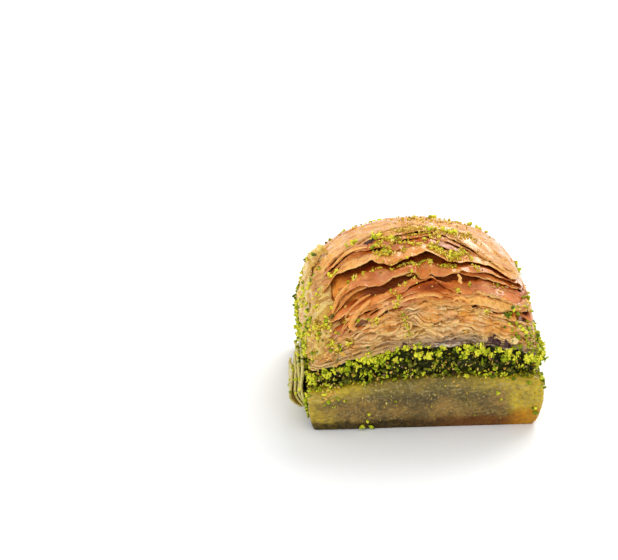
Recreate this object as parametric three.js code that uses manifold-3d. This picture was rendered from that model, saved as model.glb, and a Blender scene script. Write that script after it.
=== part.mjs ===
// A square-cut piece of pistachio baklava, resting on its flat base.
// Three solids, one above the other: the dense syrup-soaked lower pastry, the band of chopped
// pistachio, and the puffed upper pastry, whose leaves step back into a dome like stairs.
// Units are millimetres, +Z is up, +X runs across the opened cut face and -Y looks out of it.
import * as THREE from "three";
import Module from "manifold-3d";
import { mergeVertices } from "three/addons/utils/BufferGeometryUtils.js";

// ---- Driving dimensions -------------------------------------------------------------------
const BASE_WIDTH = 42.5; // across the opened cut face, at the board
const BASE_DEPTH = 38;
const CREST_HEIGHT = 34.8; // top of the dome, without the crumbs on it
const SPREAD = 1.0; // how far the sides lean out between the board and the filling
const BULGE = 0.6; // how far the soaked sides belly out at half their height
const SHOULDER_HEIGHT = 18.5; // where the dome meets the left and right sides

// The two faces of the filling are pillows: a corner height, what the middle adds, and a tilt
// that lifts the right-hand side, in millimetres of height for each millimetre across.
const LOWER_TOP = { corner: 8.8, acrossX: 1.8, acrossY: 0.6, tilt: 0.04 };
const FILLING_TOP = { corner: 12.4, acrossX: 4.6, acrossY: 1.2, tilt: 0.055 };
const PILLOW_POWER = 2.2;
const NODE_GAP = 0.3; // air between neighbouring solids

const ARCH_POWER = { left: 2.1, right: 2.0 }; // squareness of the dome, seen from the front
const CROWN_RISE = 0.05; // share of the dome's height that the top leaf crowns by
const FRONT_OPENING = 17.5; // how far back the front edges of the leaves recede by the crest
const BACK_OPENING = 22;
const SIDE_RECESS = { left: 2.2, right: 3.4 }; // the same for the sides, where leaves are draped
const LEAF_COUNT = 10;
const TOP_LEAF = 0.955; // share of the dome's height at the rim of the top leaf
const LEAF_SHARE = 0.4; // part of each step that is pastry, the rest is the gap under it
const FLUTTER = 0.26; // how far a leaf's edge waves up and down, as a share of its step
const SIDE_CALM = 0.7; // share of a leaf's waves that its steep left and right hems lose
const NOTCH_DEPTH = 1.5; // how far a gap runs in under the leaf above it
const LIFTED_LEAVES = [6, 8]; // these stand off the leaf below, with a deep dark gap
const LIFTED_SHARE = 0.26;
const LIFTED_NOTCH = 3.6;

// A flap of leaves that has peeled off the left side and stands beside the filling. Its waves
// and its ragged top edge are heights in millimetres.
const FLAP = {
  from: -16,
  to: -7,
  foot: 4.6,
  top: 13.2,
  stand: 2.7,
  thickness: 0.7,
  waves: 0.28,
  ragged: 0.9,
  roundedEnds: 1.6,
};

const POINTS_AROUND = 72; // around every outline, a multiple of 8 so that corners are sharp
const INNER_RING = 0.55; // size of the ring inside a flat face, as a share of its rim
const CAP_FOLDS = 0.55; // height of the folds in the top leaf
const CAP_RINGS = 8; // rings of the top leaf inside its rim
const LOWER_LEDGES = 5;
const LEDGE_DEPTH = 0.22;

// Squareness of the outlines in plan: 2 is an ellipse, and higher numbers have sharper corners.
const SQUARENESS = { lower: 22, filling: 12, lowestLeaf: 11, highestLeaf: 5 };
const WAVE_SIZE = { lower: 0.14, filling: 0.22, lowestLeaf: 0.25, highestLeaf: 0.75 };
const SEED = 20;

const CRUMBS_ON_TOP = 36;
const CRUMBS_ON_SKIRT = 16;
const CRUMBS_IN_FILLING = 54;
const CRUMBS_ON_BASE = 3;
const CRUMB_RADIUS = [0.5, 1.05];
const CRUMBED_LEAVES = { top: 4, skirt: 5 }; // how many of the upper and of the lower leaves have crumbs

// ---- Helpers ------------------------------------------------------------------------------
const wasm = await Module();
wasm.setup();

/** A repeatable source of numbers from 0 to 1. */
function seeded(seed) {
  let state = seed * 2654435761;
  return () => {
    state = (state + 0x6d2b79f5) | 0;
    let t = Math.imul(state ^ (state >>> 15), 1 | state);
    t = (t + Math.imul(t ^ (t >>> 7), 61 | t)) ^ t;
    return ((t ^ (t >>> 14)) >>> 0) / 4294967296;
  };
}

/** A smooth wave round a closed outline, about -1 to 1, from the given numbers of crests. */
function waveAround(seed, crests) {
  const random = seeded(seed);
  const terms = crests.map((count) => ({ count, phase: random() * 2 * Math.PI }));
  const scale = 1 / Math.sqrt(terms.length);
  return (angle) => {
    const sum = terms.reduce((total, term) => total + Math.sin(term.count * angle + term.phase), 0);
    return sum * scale;
  };
}

/** Smooth folds over the plan, about -1 to 1: long waves crossing at seeded angles. */
function plannedFolds(seed, wavelengths) {
  const random = seeded(seed);
  const waves = wavelengths.map((length) => {
    const turn = random() * Math.PI;
    const pitch = (2 * Math.PI) / length;
    return { alongX: Math.cos(turn) * pitch, alongY: Math.sin(turn) * pitch, phase: random() * 6 };
  });
  return (x, y) =>
    waves.reduce((sum, w) => sum + Math.sin(w.alongX * x + w.alongY * y + w.phase), 0) / waves.length;
}

/** Height of a pillow-shaped surface over the plan. */
function pillow(shape, x, y) {
  const u = Math.min(1, Math.abs(x) / (BASE_WIDTH / 2 + SPREAD));
  const v = Math.min(1, Math.abs(y) / (BASE_DEPTH / 2 + SPREAD));
  const acrossX = shape.acrossX * (1 - u ** PILLOW_POWER);
  const acrossY = shape.acrossY * (1 - v ** PILLOW_POWER);
  return shape.corner + acrossX + acrossY + shape.tilt * x;
}

/** Height of the pastry's stack at a share of its way up, from 0 at the filling to 1 at the skin. */
function stackHeight(share, x, y) {
  const u = Math.min(1, Math.abs(x) / (BASE_WIDTH / 2 + SPREAD));
  const floor = pillow(FILLING_TOP, x, y) + NODE_GAP;
  const power = x < 0 ? ARCH_POWER.left : ARCH_POWER.right;
  const arch = (1 - u ** power) ** (1 / power);
  const skin = SHOULDER_HEIGHT + (CREST_HEIGHT - SHOULDER_HEIGHT) * arch;
  return floor + share * (skin - floor);
}

/** A rounded rectangle between the given limits, pushed in and out by a wave. */
function outline({ left, right, front, back, squareness, wave, waveSize, inset = 0 }) {
  const points = [];
  for (let i = 0; i < POINTS_AROUND; i++) {
    const angle = (i / POINTS_AROUND) * 2 * Math.PI;
    const c = Math.cos(angle);
    const s = Math.sin(angle);
    const reach = 1 / (Math.abs(c) ** squareness + Math.abs(s) ** squareness) ** (1 / squareness);
    const push = waveSize * wave(angle) - inset;
    const halfX = (right - left) / 2 + push;
    const halfY = (back - front) / 2 + push;
    points.push([(left + right) / 2 + c * reach * halfX, (front + back) / 2 + s * reach * halfY]);
  }
  return points;
}

/** The ring inside a flat face, drawn in from its rim, at the height that a function gives. */
function ringInside(rim, heightAt) {
  return rim.map(([x, y]) => {
    const px = x * INNER_RING;
    const py = y * INNER_RING;
    return [px, py, heightAt(px, py)];
  });
}

/** A closed solid skinned over rings of points, with a middle point over each end. */
function skinned(rings, bottomMiddle, topMiddle) {
  const n = POINTS_AROUND;
  const positions = [...rings.flat(2), ...bottomMiddle, ...topMiddle];
  const index = [];
  const bottom = rings.length * n;
  const top = bottom + 1;
  const last = (rings.length - 1) * n;
  for (let i = 0; i < n; i++) {
    const j = (i + 1) % n;
    index.push(bottom, j, i);
    index.push(top, last + i, last + j);
    for (let ring = 0; ring < rings.length - 1; ring++) {
      const low = ring * n;
      const high = low + n;
      index.push(low + i, low + j, high + j);
      index.push(low + i, high + j, high + i);
    }
  }
  const geometry = new THREE.BufferGeometry();
  geometry.setAttribute("position", new THREE.Float32BufferAttribute(positions, 3));
  geometry.setIndex(index);
  return geometry;
}

/** The solid of a closed geometry, for joining. */
function solidOf(geometry) {
  const bare = geometry.clone();
  bare.deleteAttribute("normal");
  bare.deleteAttribute("uv");
  const merged = mergeVertices(bare, 1e-4);
  const vertProperties = new Float32Array(merged.attributes.position.array);
  const triVerts = new Uint32Array(merged.index.array);
  return new wasm.Manifold(new wasm.Mesh({ numProp: 3, vertProperties, triVerts }));
}

/** A drawable geometry of a joined solid, with only its largest body. */
function geometryOf(solid) {
  const bodies = solid.decompose().sort((a, b) => b.volume() - a.volume());
  const mesh = bodies[0].getMesh();
  const geometry = new THREE.BufferGeometry();
  geometry.setAttribute("position", new THREE.BufferAttribute(mesh.vertProperties.slice(), 3));
  geometry.setIndex(new THREE.BufferAttribute(mesh.triVerts.slice(), 1));
  geometry.computeVertexNormals();
  return geometry;
}

/** One chopped pistachio crumb: a small uneven lump with 20 faces. */
function crumb(random, radius, x, y, z) {
  const geometry = new THREE.IcosahedronGeometry(radius, 0);
  const stretch = [0, 1, 2].map(() => 0.75 + 0.5 * random());
  geometry.scale(...stretch);
  geometry.rotateZ(random() * Math.PI);
  geometry.rotateX(random() * Math.PI);
  geometry.translate(x, y, z);
  return solidOf(geometry);
}

function crumbRadius(random) {
  const [small, large] = CRUMB_RADIUS;
  return small + (large - small) * random() ** 1.6;
}

/** Joins crumbs to a body. */
function withCrumbs(body, crumbs) {
  return wasm.Manifold.union([body, ...crumbs]);
}

function meshNamed(name, geometry, material) {
  const mesh = new THREE.Mesh(geometry, material);
  mesh.name = name;
  return mesh;
}

// ---- Lower pastry: soaked leaves pressed into one dense slab ---------------------------------
function lowerRing(share, seed, recess) {
  const wave = waveAround(SEED + seed, [3, 5, 9, 14, 23]);
  const lean = SPREAD * share + BULGE * Math.sin(Math.PI * share) - recess;
  const points = outline({
    left: -BASE_WIDTH / 2 - lean,
    right: BASE_WIDTH / 2 + lean,
    front: -BASE_DEPTH / 2 - lean,
    back: BASE_DEPTH / 2 + lean,
    squareness: SQUARENESS.lower,
    wave,
    waveSize: WAVE_SIZE.lower,
  });
  return points.map(([x, y]) => [x, y, share * pillow(LOWER_TOP, x, y)]);
}

/** The peeled flap: a thin plate that bellies out from its foot and waves along its length. */
function peeledFlap() {
  const long = FLAP.to - FLAP.from;
  const tall = FLAP.top - FLAP.foot;
  const geometry = new THREE.BoxGeometry(FLAP.thickness, long, tall, 1, 9, 6);
  const position = geometry.getAttribute("position");
  for (let i = 0; i < position.count; i++) {
    const along = position.getY(i) / long + 0.5;
    const up = position.getZ(i) / tall + 0.5;
    const belly = FLAP.stand * Math.sin(Math.min(1, up * 1.3) * (Math.PI / 2));
    const waves = FLAP.waves * up * Math.sin(along * 11 + up * 2);
    const torn = FLAP.ragged * Math.sin(along * 7 + 1) - FLAP.roundedEnds * (along - 0.5) ** 2;
    position.setX(i, position.getX(i) - BASE_WIDTH / 2 - SPREAD * 0.6 - belly - waves);
    position.setY(i, FLAP.from + along * long);
    position.setZ(i, FLAP.foot + up * tall + up * torn);
  }
  return solidOf(geometry);
}

function lowerPastry() {
  const rings = [lowerRing(0, 0, 0.25), lowerRing(0.05, 0, 0)];
  for (let ledge = 1; ledge < LOWER_LEDGES; ledge++) {
    rings.push(lowerRing(ledge / LOWER_LEDGES, ledge, LEDGE_DEPTH));
    rings.push(lowerRing((ledge + 0.35) / LOWER_LEDGES, ledge, 0));
  }
  rings.push(lowerRing(1, LOWER_LEDGES, 0.5));
  rings.push(ringInside(rings.at(-1), (x, y) => pillow(LOWER_TOP, x, y)));
  const body = solidOf(skinned(rings, [0, 0, 0], [0, 0, pillow(LOWER_TOP, 0, 0)]));
  const random = seeded(SEED + 31);
  const crumbs = [];
  for (let i = 0; i < CRUMBS_ON_BASE; i++) {
    const radius = crumbRadius(random);
    const along = (random() - 0.5) * BASE_DEPTH * 0.8;
    crumbs.push(crumb(random, radius, -BASE_WIDTH / 2 - 0.5, along, 2 + 2 * random()));
  }
  return withCrumbs(body, [peeledFlap(), ...crumbs]);
}

// ---- Filling: the band of chopped nuts, lumpy at its cut sides -----------------------------------
function fillingRing(share, push, seed) {
  const wave = waveAround(SEED + 50 + seed, [7, 13, 21, 34]);
  const lean = SPREAD + push;
  const points = outline({
    left: -BASE_WIDTH / 2 - lean,
    right: BASE_WIDTH / 2 + lean,
    front: -BASE_DEPTH / 2 - lean,
    back: BASE_DEPTH / 2 + lean,
    squareness: SQUARENESS.filling,
    wave,
    waveSize: WAVE_SIZE.filling,
  });
  return points.map(([x, y]) => {
    const floor = pillow(LOWER_TOP, x, y) + NODE_GAP;
    const roof = pillow(FILLING_TOP, x, y);
    return [x, y, floor + share * (roof - floor)];
  });
}

function filling() {
  const floorAt = (x, y) => pillow(LOWER_TOP, x, y) + NODE_GAP;
  const roofAt = (x, y) => pillow(FILLING_TOP, x, y);
  const sides = [
    fillingRing(0, -1.3, 0),
    fillingRing(0.28, -0.9, 1),
    fillingRing(0.62, -0.6, 2),
    fillingRing(1, -0.9, 3),
  ];
  const rings = [ringInside(sides[0], floorAt), ...sides, ringInside(sides.at(-1), roofAt)];
  const body = solidOf(skinned(rings, [0, 0, floorAt(0, 0)], [0, 0, roofAt(0, 0)]));
  const random = seeded(SEED + 67);
  const edge = fillingRing(0.5, -0.75, 2);
  const crumbs = [];
  for (let i = 0; i < CRUMBS_IN_FILLING; i++) {
    const along = (i + random() * 0.7) / CRUMBS_IN_FILLING;
    const [x, y] = edge[Math.floor(along * POINTS_AROUND) % POINTS_AROUND];
    const floor = floorAt(x, y);
    const roof = roofAt(x, y);
    const radius = Math.min(crumbRadius(random) * 1.15, (roof - floor) * 0.32);
    const lift = floor + radius * 1.3 + (roof - floor - radius * 2.6) * random();
    crumbs.push(crumb(random, radius, x, y, lift));
  }
  return withCrumbs(body, crumbs);
}

// ---- Upper pastry: leaves that step back into a dome ------------------------------------------
/** How far the leaf's edge has receded at a share of the way up: a quarter ellipse. */
function receded(share, opening) {
  return opening * (1 - Math.sqrt(1 - share * share));
}

/** The edge of one leaf in plan. Its hems at the left and right are steep, so they wave less. */
function leafOutline(share, leaf, inset) {
  const waveAt = waveAround(SEED + 90 + leaf, [2, 3, 5, 8, 13, 21]);
  const wave = (angle) => waveAt(angle) * (1 - SIDE_CALM * Math.cos(angle) ** 4);
  return outline({
    left: -BASE_WIDTH / 2 - SPREAD + SIDE_RECESS.left * share,
    right: BASE_WIDTH / 2 + SPREAD - SIDE_RECESS.right * share,
    front: -BASE_DEPTH / 2 - SPREAD + receded(share, FRONT_OPENING),
    back: BASE_DEPTH / 2 + SPREAD - receded(share, BACK_OPENING),
    squareness: THREE.MathUtils.lerp(SQUARENESS.lowestLeaf, SQUARENESS.highestLeaf, share),
    wave,
    waveSize: THREE.MathUtils.lerp(WAVE_SIZE.lowestLeaf, WAVE_SIZE.highestLeaf, share),
    inset,
  });
}

/** A ring of the stack: the leaf's outline, pushed inward, at a share of the way up that flutters. */
function upperRing(outlineShare, leaf, inset, share, flutter) {
  const folds = plannedFolds(SEED + 170 + leaf, [9, 13, 21]);
  return leafOutline(outlineShare, leaf, inset).map(([x, y]) => {
    return [x, y, stackHeight(share + flutter * folds(x, y), x, y)];
  });
}

/** Share of the way up at the middle of a leaf: close together by the filling, wider above. */
function leafShare(leaf) {
  return TOP_LEAF * ((leaf + 0.6) / (LEAF_COUNT - 0.4)) ** 0.94;
}

/** The top leaf inside its rim, crowning up to the crest, with folds that run back from its edge. */
function capRings() {
  const share = leafShare(LEAF_COUNT - 1);
  const rim = leafOutline(share, LEAF_COUNT - 1, 0);
  const middleY = rim.reduce((sum, [, y]) => sum + y, 0) / rim.length;
  const folds = plannedFolds(SEED + 140, [7, 9, 12, 17, 24]);
  const edgeFolds = plannedFolds(SEED + 170 + LEAF_COUNT - 1, [9, 13, 21]);
  const edgeFlutter = FLUTTER * (share - leafShare(LEAF_COUNT - 2));
  const rings = [];
  for (let ring = 1; ring <= CAP_RINGS; ring++) {
    const inward = Math.cos((ring / (CAP_RINGS + 1)) * (Math.PI / 2));
    rings.push(
      rim.map(([x, y]) => {
        const px = x * inward;
        const py = middleY + (y - middleY) * inward;
        const crown = CROWN_RISE * (1 - inward * inward) + inward * edgeFlutter * edgeFolds(px, py);
        return [px, py, stackHeight(share + crown, px, py) + CAP_FOLDS * folds(px, py)];
      }),
    );
  }
  return { rings, middle: [0, middleY, stackHeight(share + CROWN_RISE, 0, middleY)] };
}

function upperPastry() {
  const rings = [leafOutline(0, 0, 1.2).map(([x, y]) => [x, y, stackHeight(0, x, y)])];
  rings.unshift(ringInside(rings[0], (x, y) => stackHeight(0, x, y)));
  for (let leaf = 0; leaf < LEAF_COUNT; leaf++) {
    const share = leafShare(leaf);
    const step = share - (leaf ? leafShare(leaf - 1) : 0);
    const flutter = FLUTTER * step;
    const thickness = step * (LIFTED_LEAVES.includes(leaf) ? LIFTED_SHARE : LEAF_SHARE);
    rings.push(upperRing(share, leaf, 0, share - thickness, flutter));
    rings.push(upperRing(share, leaf, 0, share, flutter));
    if (leaf + 1 < LEAF_COUNT) {
      const next = leafShare(leaf + 1);
      const deep = LIFTED_LEAVES.includes(leaf + 1) ? LIFTED_NOTCH : NOTCH_DEPTH;
      const foot = share + (next - share) * 0.1;
      rings.push(upperRing(next, leaf + 1, deep * (0.4 + 0.6 * share), foot, flutter * 0.6));
    }
  }
  const cap = capRings();
  rings.push(...cap.rings);
  const body = solidOf(skinned(rings, [0, 0, stackHeight(0, 0, 0)], cap.middle));

  const random = seeded(SEED + 211);
  const crumbs = [];
  for (let i = 0; i < CRUMBS_ON_TOP; i++) {
    const [x, y, z] = domePoint(random);
    crumbs.push(crumb(random, crumbRadius(random), x, y, z + 0.25));
  }
  for (let i = 0; i < CRUMBS_ON_SKIRT; i++) {
    const leaf = 1 + Math.floor(random() * CRUMBED_LEAVES.skirt);
    const share = leafShare(leaf);
    const rim = leafOutline(share, leaf, 0.2);
    const [x, y] = rim[Math.floor(random() * POINTS_AROUND)];
    crumbs.push(crumb(random, crumbRadius(random), x, y, stackHeight(share, x, y) + 0.2));
  }
  return withCrumbs(body, crumbs);
}

/** A point on the stepped dome, where crumbs have settled: on its upper leaves. */
function domePoint(random) {
  const leaf = LEAF_COUNT - 1 - Math.floor(random() * CRUMBED_LEAVES.top);
  const share = leafShare(leaf);
  if (leaf === LEAF_COUNT - 1) {
    const x = (random() - 0.5) * BASE_WIDTH * 0.8;
    const y = (random() - 0.5) * BASE_DEPTH * 0.4 + (FRONT_OPENING - BACK_OPENING) / 2;
    return [x, y, stackHeight(share + CROWN_RISE * 0.6, x, y)];
  }
  const rim = leafOutline(share, leaf, 0.5 + random());
  const [x, y] = rim[Math.floor(random() * POINTS_AROUND)];
  return [x, y, stackHeight(share, x, y)];
}

// ---- Materials and assembly ----------------------------------------------------------------
const soaked = new THREE.MeshStandardMaterial({ color: 0x9a8245, roughness: 0.35, metalness: 0 });
const pistachio = new THREE.MeshStandardMaterial({ color: 0x8fa41c, roughness: 0.8, metalness: 0 });
const baked = new THREE.MeshStandardMaterial({ color: 0xd08a45, roughness: 0.42, metalness: 0 });

const baklava = new THREE.Group();
baklava.name = "baklava_piece";
baklava.add(meshNamed("lower_pastry", geometryOf(lowerPastry()), soaked));
baklava.add(meshNamed("pistachio_filling", geometryOf(filling()), pistachio));
baklava.add(meshNamed("upper_pastry", geometryOf(upperPastry()), baked));

// The origin is the middle of the underside of the piece's own box.
const box = new THREE.Box3().setFromObject(baklava);
const centre = box.getCenter(new THREE.Vector3());
baklava.position.set(-centre.x, -centre.y, -box.min.z);

export default baklava;
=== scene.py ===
"""A square-cut piece of pistachio baklava, dressed over its three solids.

The lower pastry is one dense slab of syrup-soaked leaves with a peeled flap at its left. The
filling is a core, darkened with painted shade, under a crust of chopped pistachio. The upper
pastry is a stack of thin leaves: pale and tightly crinkled at the bottom, baked orange and
curling apart towards the crest, with nut crumbs and bits of nut skin scattered over it.

Shapes are worked out in millimetres about the middle of the underside, with +X across the
opened cut face and -Y out of it, and are turned into metres when their meshes are made.
"""

from __future__ import annotations

import itertools
import logging
import math
from dataclasses import dataclass, field
from enum import Enum

import bmesh
import bpy
import numpy as np
from mathutils import Matrix, Vector

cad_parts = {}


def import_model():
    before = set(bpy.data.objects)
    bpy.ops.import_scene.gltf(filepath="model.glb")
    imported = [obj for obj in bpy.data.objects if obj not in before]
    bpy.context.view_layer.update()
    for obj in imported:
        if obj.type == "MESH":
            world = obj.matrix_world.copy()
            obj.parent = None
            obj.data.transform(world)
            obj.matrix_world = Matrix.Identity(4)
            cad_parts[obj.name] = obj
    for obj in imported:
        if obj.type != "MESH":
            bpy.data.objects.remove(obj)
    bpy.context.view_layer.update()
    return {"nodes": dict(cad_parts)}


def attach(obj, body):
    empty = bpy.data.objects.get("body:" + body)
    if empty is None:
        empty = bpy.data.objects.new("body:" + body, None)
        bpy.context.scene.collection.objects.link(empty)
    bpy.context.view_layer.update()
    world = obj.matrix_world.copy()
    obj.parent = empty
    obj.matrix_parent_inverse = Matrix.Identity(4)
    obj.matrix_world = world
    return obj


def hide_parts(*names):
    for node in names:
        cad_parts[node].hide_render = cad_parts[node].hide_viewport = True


Array = np.ndarray
Colour = tuple[float, float, float]
Span = tuple[float, float]
Course = tuple[Span, ...]
Spots = tuple[tuple[float, float, float, float, float], ...]
Material = bpy.types.Material
Piece = bpy.types.Object

MM = 0.001
FRAME_SIZE = (618, 560)
SEED = 20
QUARTER = math.pi / 2

log = logging.getLogger("baklava")


# ---- Noise and curves ------------------------------------------------------------------------
class Noise:
    """Seeded smooth noise over points in space, about -1 to 1."""

    CELLS = 256
    GAIN = 1.6

    def __init__(self, seed: int) -> None:
        """Draws the lattice of slopes.

        Args:
            seed: number that fixes the noise.
        """
        random = np.random.default_rng(seed)
        self.order = random.permutation(self.CELLS)
        slopes = random.normal(size=(self.CELLS, 3))
        self.slopes = slopes / np.linalg.norm(slopes, axis=1, keepdims=True)

    def at(self, points: Array, wavelength: float) -> Array:
        """Gives the noise at each point.

        Args:
            points: positions, with X, Y and Z along the last axis.
            wavelength: distance between neighbouring humps.

        Returns:
            One value for each point.
        """
        scaled = points / wavelength
        cell = np.floor(scaled).astype(int)
        part = scaled - cell
        fade = part * part * part * (part * (part * 6 - 15) + 10)
        total = np.zeros(points.shape[:-1])
        for corner in itertools.product((0, 1), repeat=3):
            index = (cell + corner) % self.CELLS
            hashed = self.order[index[..., 0]]
            hashed = self.order[(hashed + index[..., 1]) % self.CELLS]
            hashed = self.order[(hashed + index[..., 2]) % self.CELLS]
            weight = np.prod(np.where(corner, fade, 1 - fade), axis=-1)
            total += weight * np.sum(self.slopes[hashed] * (part - corner), axis=-1)
        return total * self.GAIN

    def layered(self, points: Array, wavelength: float, layers: int = 3) -> Array:
        """Gives noise with finer noise on it, each layer half as long and half as high.

        Args:
            points: positions, with X, Y and Z along the last axis.
            wavelength: distance between the humps of the first layer.
            layers: number of layers.

        Returns:
            One value for each point.
        """
        total = np.zeros(points.shape[:-1])
        for layer in range(layers):
            total += self.at(points + layer * 37.0, wavelength / 2**layer) / 2**layer
        return total


def ramp(low: float, high: float, value: Array) -> Array:
    """Gives 0 below low, 1 above high, and an S-shaped rise between them."""
    part = np.clip((value - low) / (high - low), 0, 1)
    return part * part * (3 - 2 * part)


def bell(value: Array, middle: float, width: float) -> Array:
    """Gives 1 at the middle, falling away to 0 on both sides within about two widths."""
    return np.exp(-(((value - middle) / width) ** 2))


def smooth_curve(points: Course, x: Array) -> Array:
    """Gives a soft curve that passes near some points.

    Args:
        points: places and values, from left to right.
        x: the places where the curve is wanted.

    Returns:
        One value for each place.
    """
    grid = np.linspace(-26, 26, 521)
    window = np.hanning(15)[1:-1]
    sharp = np.pad(np.interp(grid, *zip(*points)), 6, mode="edge")
    return np.interp(x, grid, np.convolve(sharp, window / window.sum(), mode="valid"))


def rim_angles(count: int, front: float = 0.55) -> Array:
    """Gives directions that are evenly spaced along each side of a square.

    Args:
        count: how many.
        front: the part of them that lies along the front.

    Returns:
        Directions from the middle, counted from the right front corner, the front's own last.
    """
    side = round(count * (1 - front) / 3)
    counts = (side, side, side, count - 3 * side)
    alongs = (np.linspace(-1, 1, number, endpoint=False) for number in counts)
    return np.concatenate([quarter * QUARTER + np.arctan(along) for quarter, along in enumerate(alongs)])


def frontal(angle: Array) -> Array:
    """Gives 1 for directions towards the front, and 0 for those towards the sides and the back."""
    return ramp(0.5, 0.74, -np.sin(angle))


def stacked(x: Array, y: Array, z: Array) -> Array:
    """Joins three coordinate arrays, or numbers, into one array of points."""
    return np.stack(np.broadcast_arrays(x, y, z), axis=-1)


def both_sides(outer: Array) -> Array:
    """Gives the values of a strip's outer side, and again for its inner side in the other order."""
    return np.concatenate([outer, outer[::-1]])


# ---- Form of the piece -----------------------------------------------------------------------
@dataclass(frozen=True)
class Pillow:
    """A pillow-shaped surface: a corner height, what the middle adds, and a sideways tilt."""

    corner: float
    across_x: float
    across_y: float
    tilt: float


@dataclass(frozen=True)
class Form:
    """Driving sizes of the piece in millimetres, and the surfaces worked out from them."""

    base_width: float = 42.5
    base_depth: float = 38.0
    crest_height: float = 34.8
    spread: float = 1.0
    bulge: float = 0.6
    shoulder_height: float = 18.5
    lower_top: Pillow = Pillow(8.8, 1.8, 0.6, 0.04)
    filling_top: Pillow = Pillow(12.4, 4.6, 1.2, 0.055)
    pillow_power: float = 2.2
    gap: float = 0.3
    arch_left: float = 2.1
    arch_right: float = 2.0
    front_opening: float = 17.5
    back_opening: float = 22.0
    side_recess_left: float = 2.2
    side_recess_right: float = 3.4

    @property
    def half_width(self) -> float:
        """Half the width at the level of the filling."""
        return self.base_width / 2 + self.spread

    @property
    def half_depth(self) -> float:
        """Half the depth at the level of the filling."""
        return self.base_depth / 2 + self.spread

    @property
    def limits(self) -> tuple[float, float, float, float]:
        """Left, right, front and back at the level of the filling."""
        return (-self.half_width, self.half_width, -self.half_depth, self.half_depth)

    def pillow(self, shape: Pillow, x: Array, y: Array) -> Array:
        """Gives the height of a pillow-shaped surface.

        Args:
            shape: its sizes.
            x: place across the cut face.
            y: place from front to back.

        Returns:
            Heights over the board.
        """
        u = np.minimum(1, np.abs(x) / self.half_width)
        v = np.minimum(1, np.abs(y) / self.half_depth)
        across_x = shape.across_x * (1 - u**self.pillow_power)
        across_y = shape.across_y * (1 - v**self.pillow_power)
        return shape.corner + across_x + across_y + shape.tilt * x

    def stack_height(self, share: Array, x: Array, y: Array) -> Array:
        """Gives the height of the pastry's stack.

        Args:
            share: part of the way up, from 0 at the filling to 1 at the skin.
            x: place across the cut face.
            y: place from front to back.

        Returns:
            Heights over the board.
        """
        u = np.minimum(1, np.abs(x) / self.half_width)
        floor = self.pillow(self.filling_top, x, y) + self.gap
        power = np.where(x < 0, self.arch_left, self.arch_right)
        arch = (1 - u**power) ** (1 / power)
        skin = self.shoulder_height + (self.crest_height - self.shoulder_height) * arch
        return floor + share * (skin - floor)

    def drawn_in(self, ring: Array, inward: float, level: Pillow | float, lift: float = 0.0) -> Array:
        """Gives a ring drawn in towards the middle.

        Args:
            ring: its points.
            inward: the part of its size that is left.
            level: the surface that it comes to lie on, or the share of the way up the stack.
            lift: how far it lies over that.

        Returns:
            The points.
        """
        x, y = ring[:, 0] * inward, ring[:, 1] * inward
        height = self.pillow(level, x, y) if isinstance(level, Pillow) else self.stack_height(level, x, y)
        return stacked(x, y, height + lift)

    def open_share(self, y: Array) -> Array:
        """Gives how far up the stack is still there.

        Args:
            y: place from front to back.

        Returns:
            Shares of the way up, 1 where nothing is missing.
        """
        front = np.clip((y + self.half_depth) / self.front_opening, 0, 1)
        back = np.clip((self.half_depth - y) / self.back_opening, 0, 1)
        return np.minimum(np.sqrt(1 - (1 - front) ** 2), np.sqrt(1 - (1 - back) ** 2))

    def dome_point(self, x: Array, share: Array, front: bool = True) -> Array:
        """Gives places on the stepped front or back of the stack.

        Args:
            x: place across.
            share: part of the way up the stack.
            front: whether they are on the front and not the back.

        Returns:
            The points in millimetres.
        """
        recess = 1 - np.sqrt(np.maximum(0, 1 - np.square(share)))
        opening = self.front_opening if front else self.back_opening
        y = (self.half_depth - opening * recess) * (-1 if front else 1)
        return stacked(x, y, self.stack_height(share, x, y))

    def dome_normal(self, x: Array, share: Array, front: bool = True) -> Array:
        """Gives the directions out of the stepped front or back of the stack.

        Args:
            x: place across.
            share: part of the way up the stack.
            front: whether they are on the front and not the back.

        Returns:
            One direction of length 1 for each place.
        """
        here = self.dome_point(x, share, front)
        across = self.dome_point(x + 0.1, share, front) - here
        down = self.dome_point(x, share - 0.004, front) - here
        normal = np.cross(down, across) if front else np.cross(across, down)
        return normal / np.linalg.norm(normal, axis=-1, keepdims=True)

    def leaf_plan(self, share: Array, inset: Array, angle: Array) -> tuple[Array, Array]:
        """Gives the plan of a leaf, drawn in from its edge.

        Args:
            share: part of the way up the stack, which may vary round it.
            inset: distance in from the leaf's edge, which may vary round it.
            angle: direction from the leaf's middle.

        Returns:
            X and Y of the plan.
        """
        recess = 1 - np.sqrt(np.maximum(0, 1 - np.square(share)))
        left = -self.half_width + self.side_recess_left * share
        right = self.half_width - self.side_recess_right * share
        front = -self.half_depth + self.front_opening * recess
        back = self.half_depth - self.back_opening * recess
        return rounded_box((left, right, front, back), 11 - 6 * share, inset, angle)


def rounded_box(
    limits: tuple[Array, Array, Array, Array], squareness: Array, inset: Array, angle: Array
) -> tuple[Array, Array]:
    """Gives points round a rectangle with rounded corners.

    Args:
        limits: left, right, front and back.
        squareness: 2 for an ellipse, larger for sharper corners.
        inset: distance in from the limits.
        angle: direction from the middle of the rectangle.

    Returns:
        X and Y of the points.
    """
    left, right, front, back = limits
    c, s = np.cos(angle), np.sin(angle)
    reach = 1 / (np.abs(c) ** squareness + np.abs(s) ** squareness) ** (1 / squareness)
    x = (left + right) / 2 + c * reach * ((right - left) / 2 - inset)
    y = (front + back) / 2 + s * reach * ((back - front) / 2 - inset)
    return x, y


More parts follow.
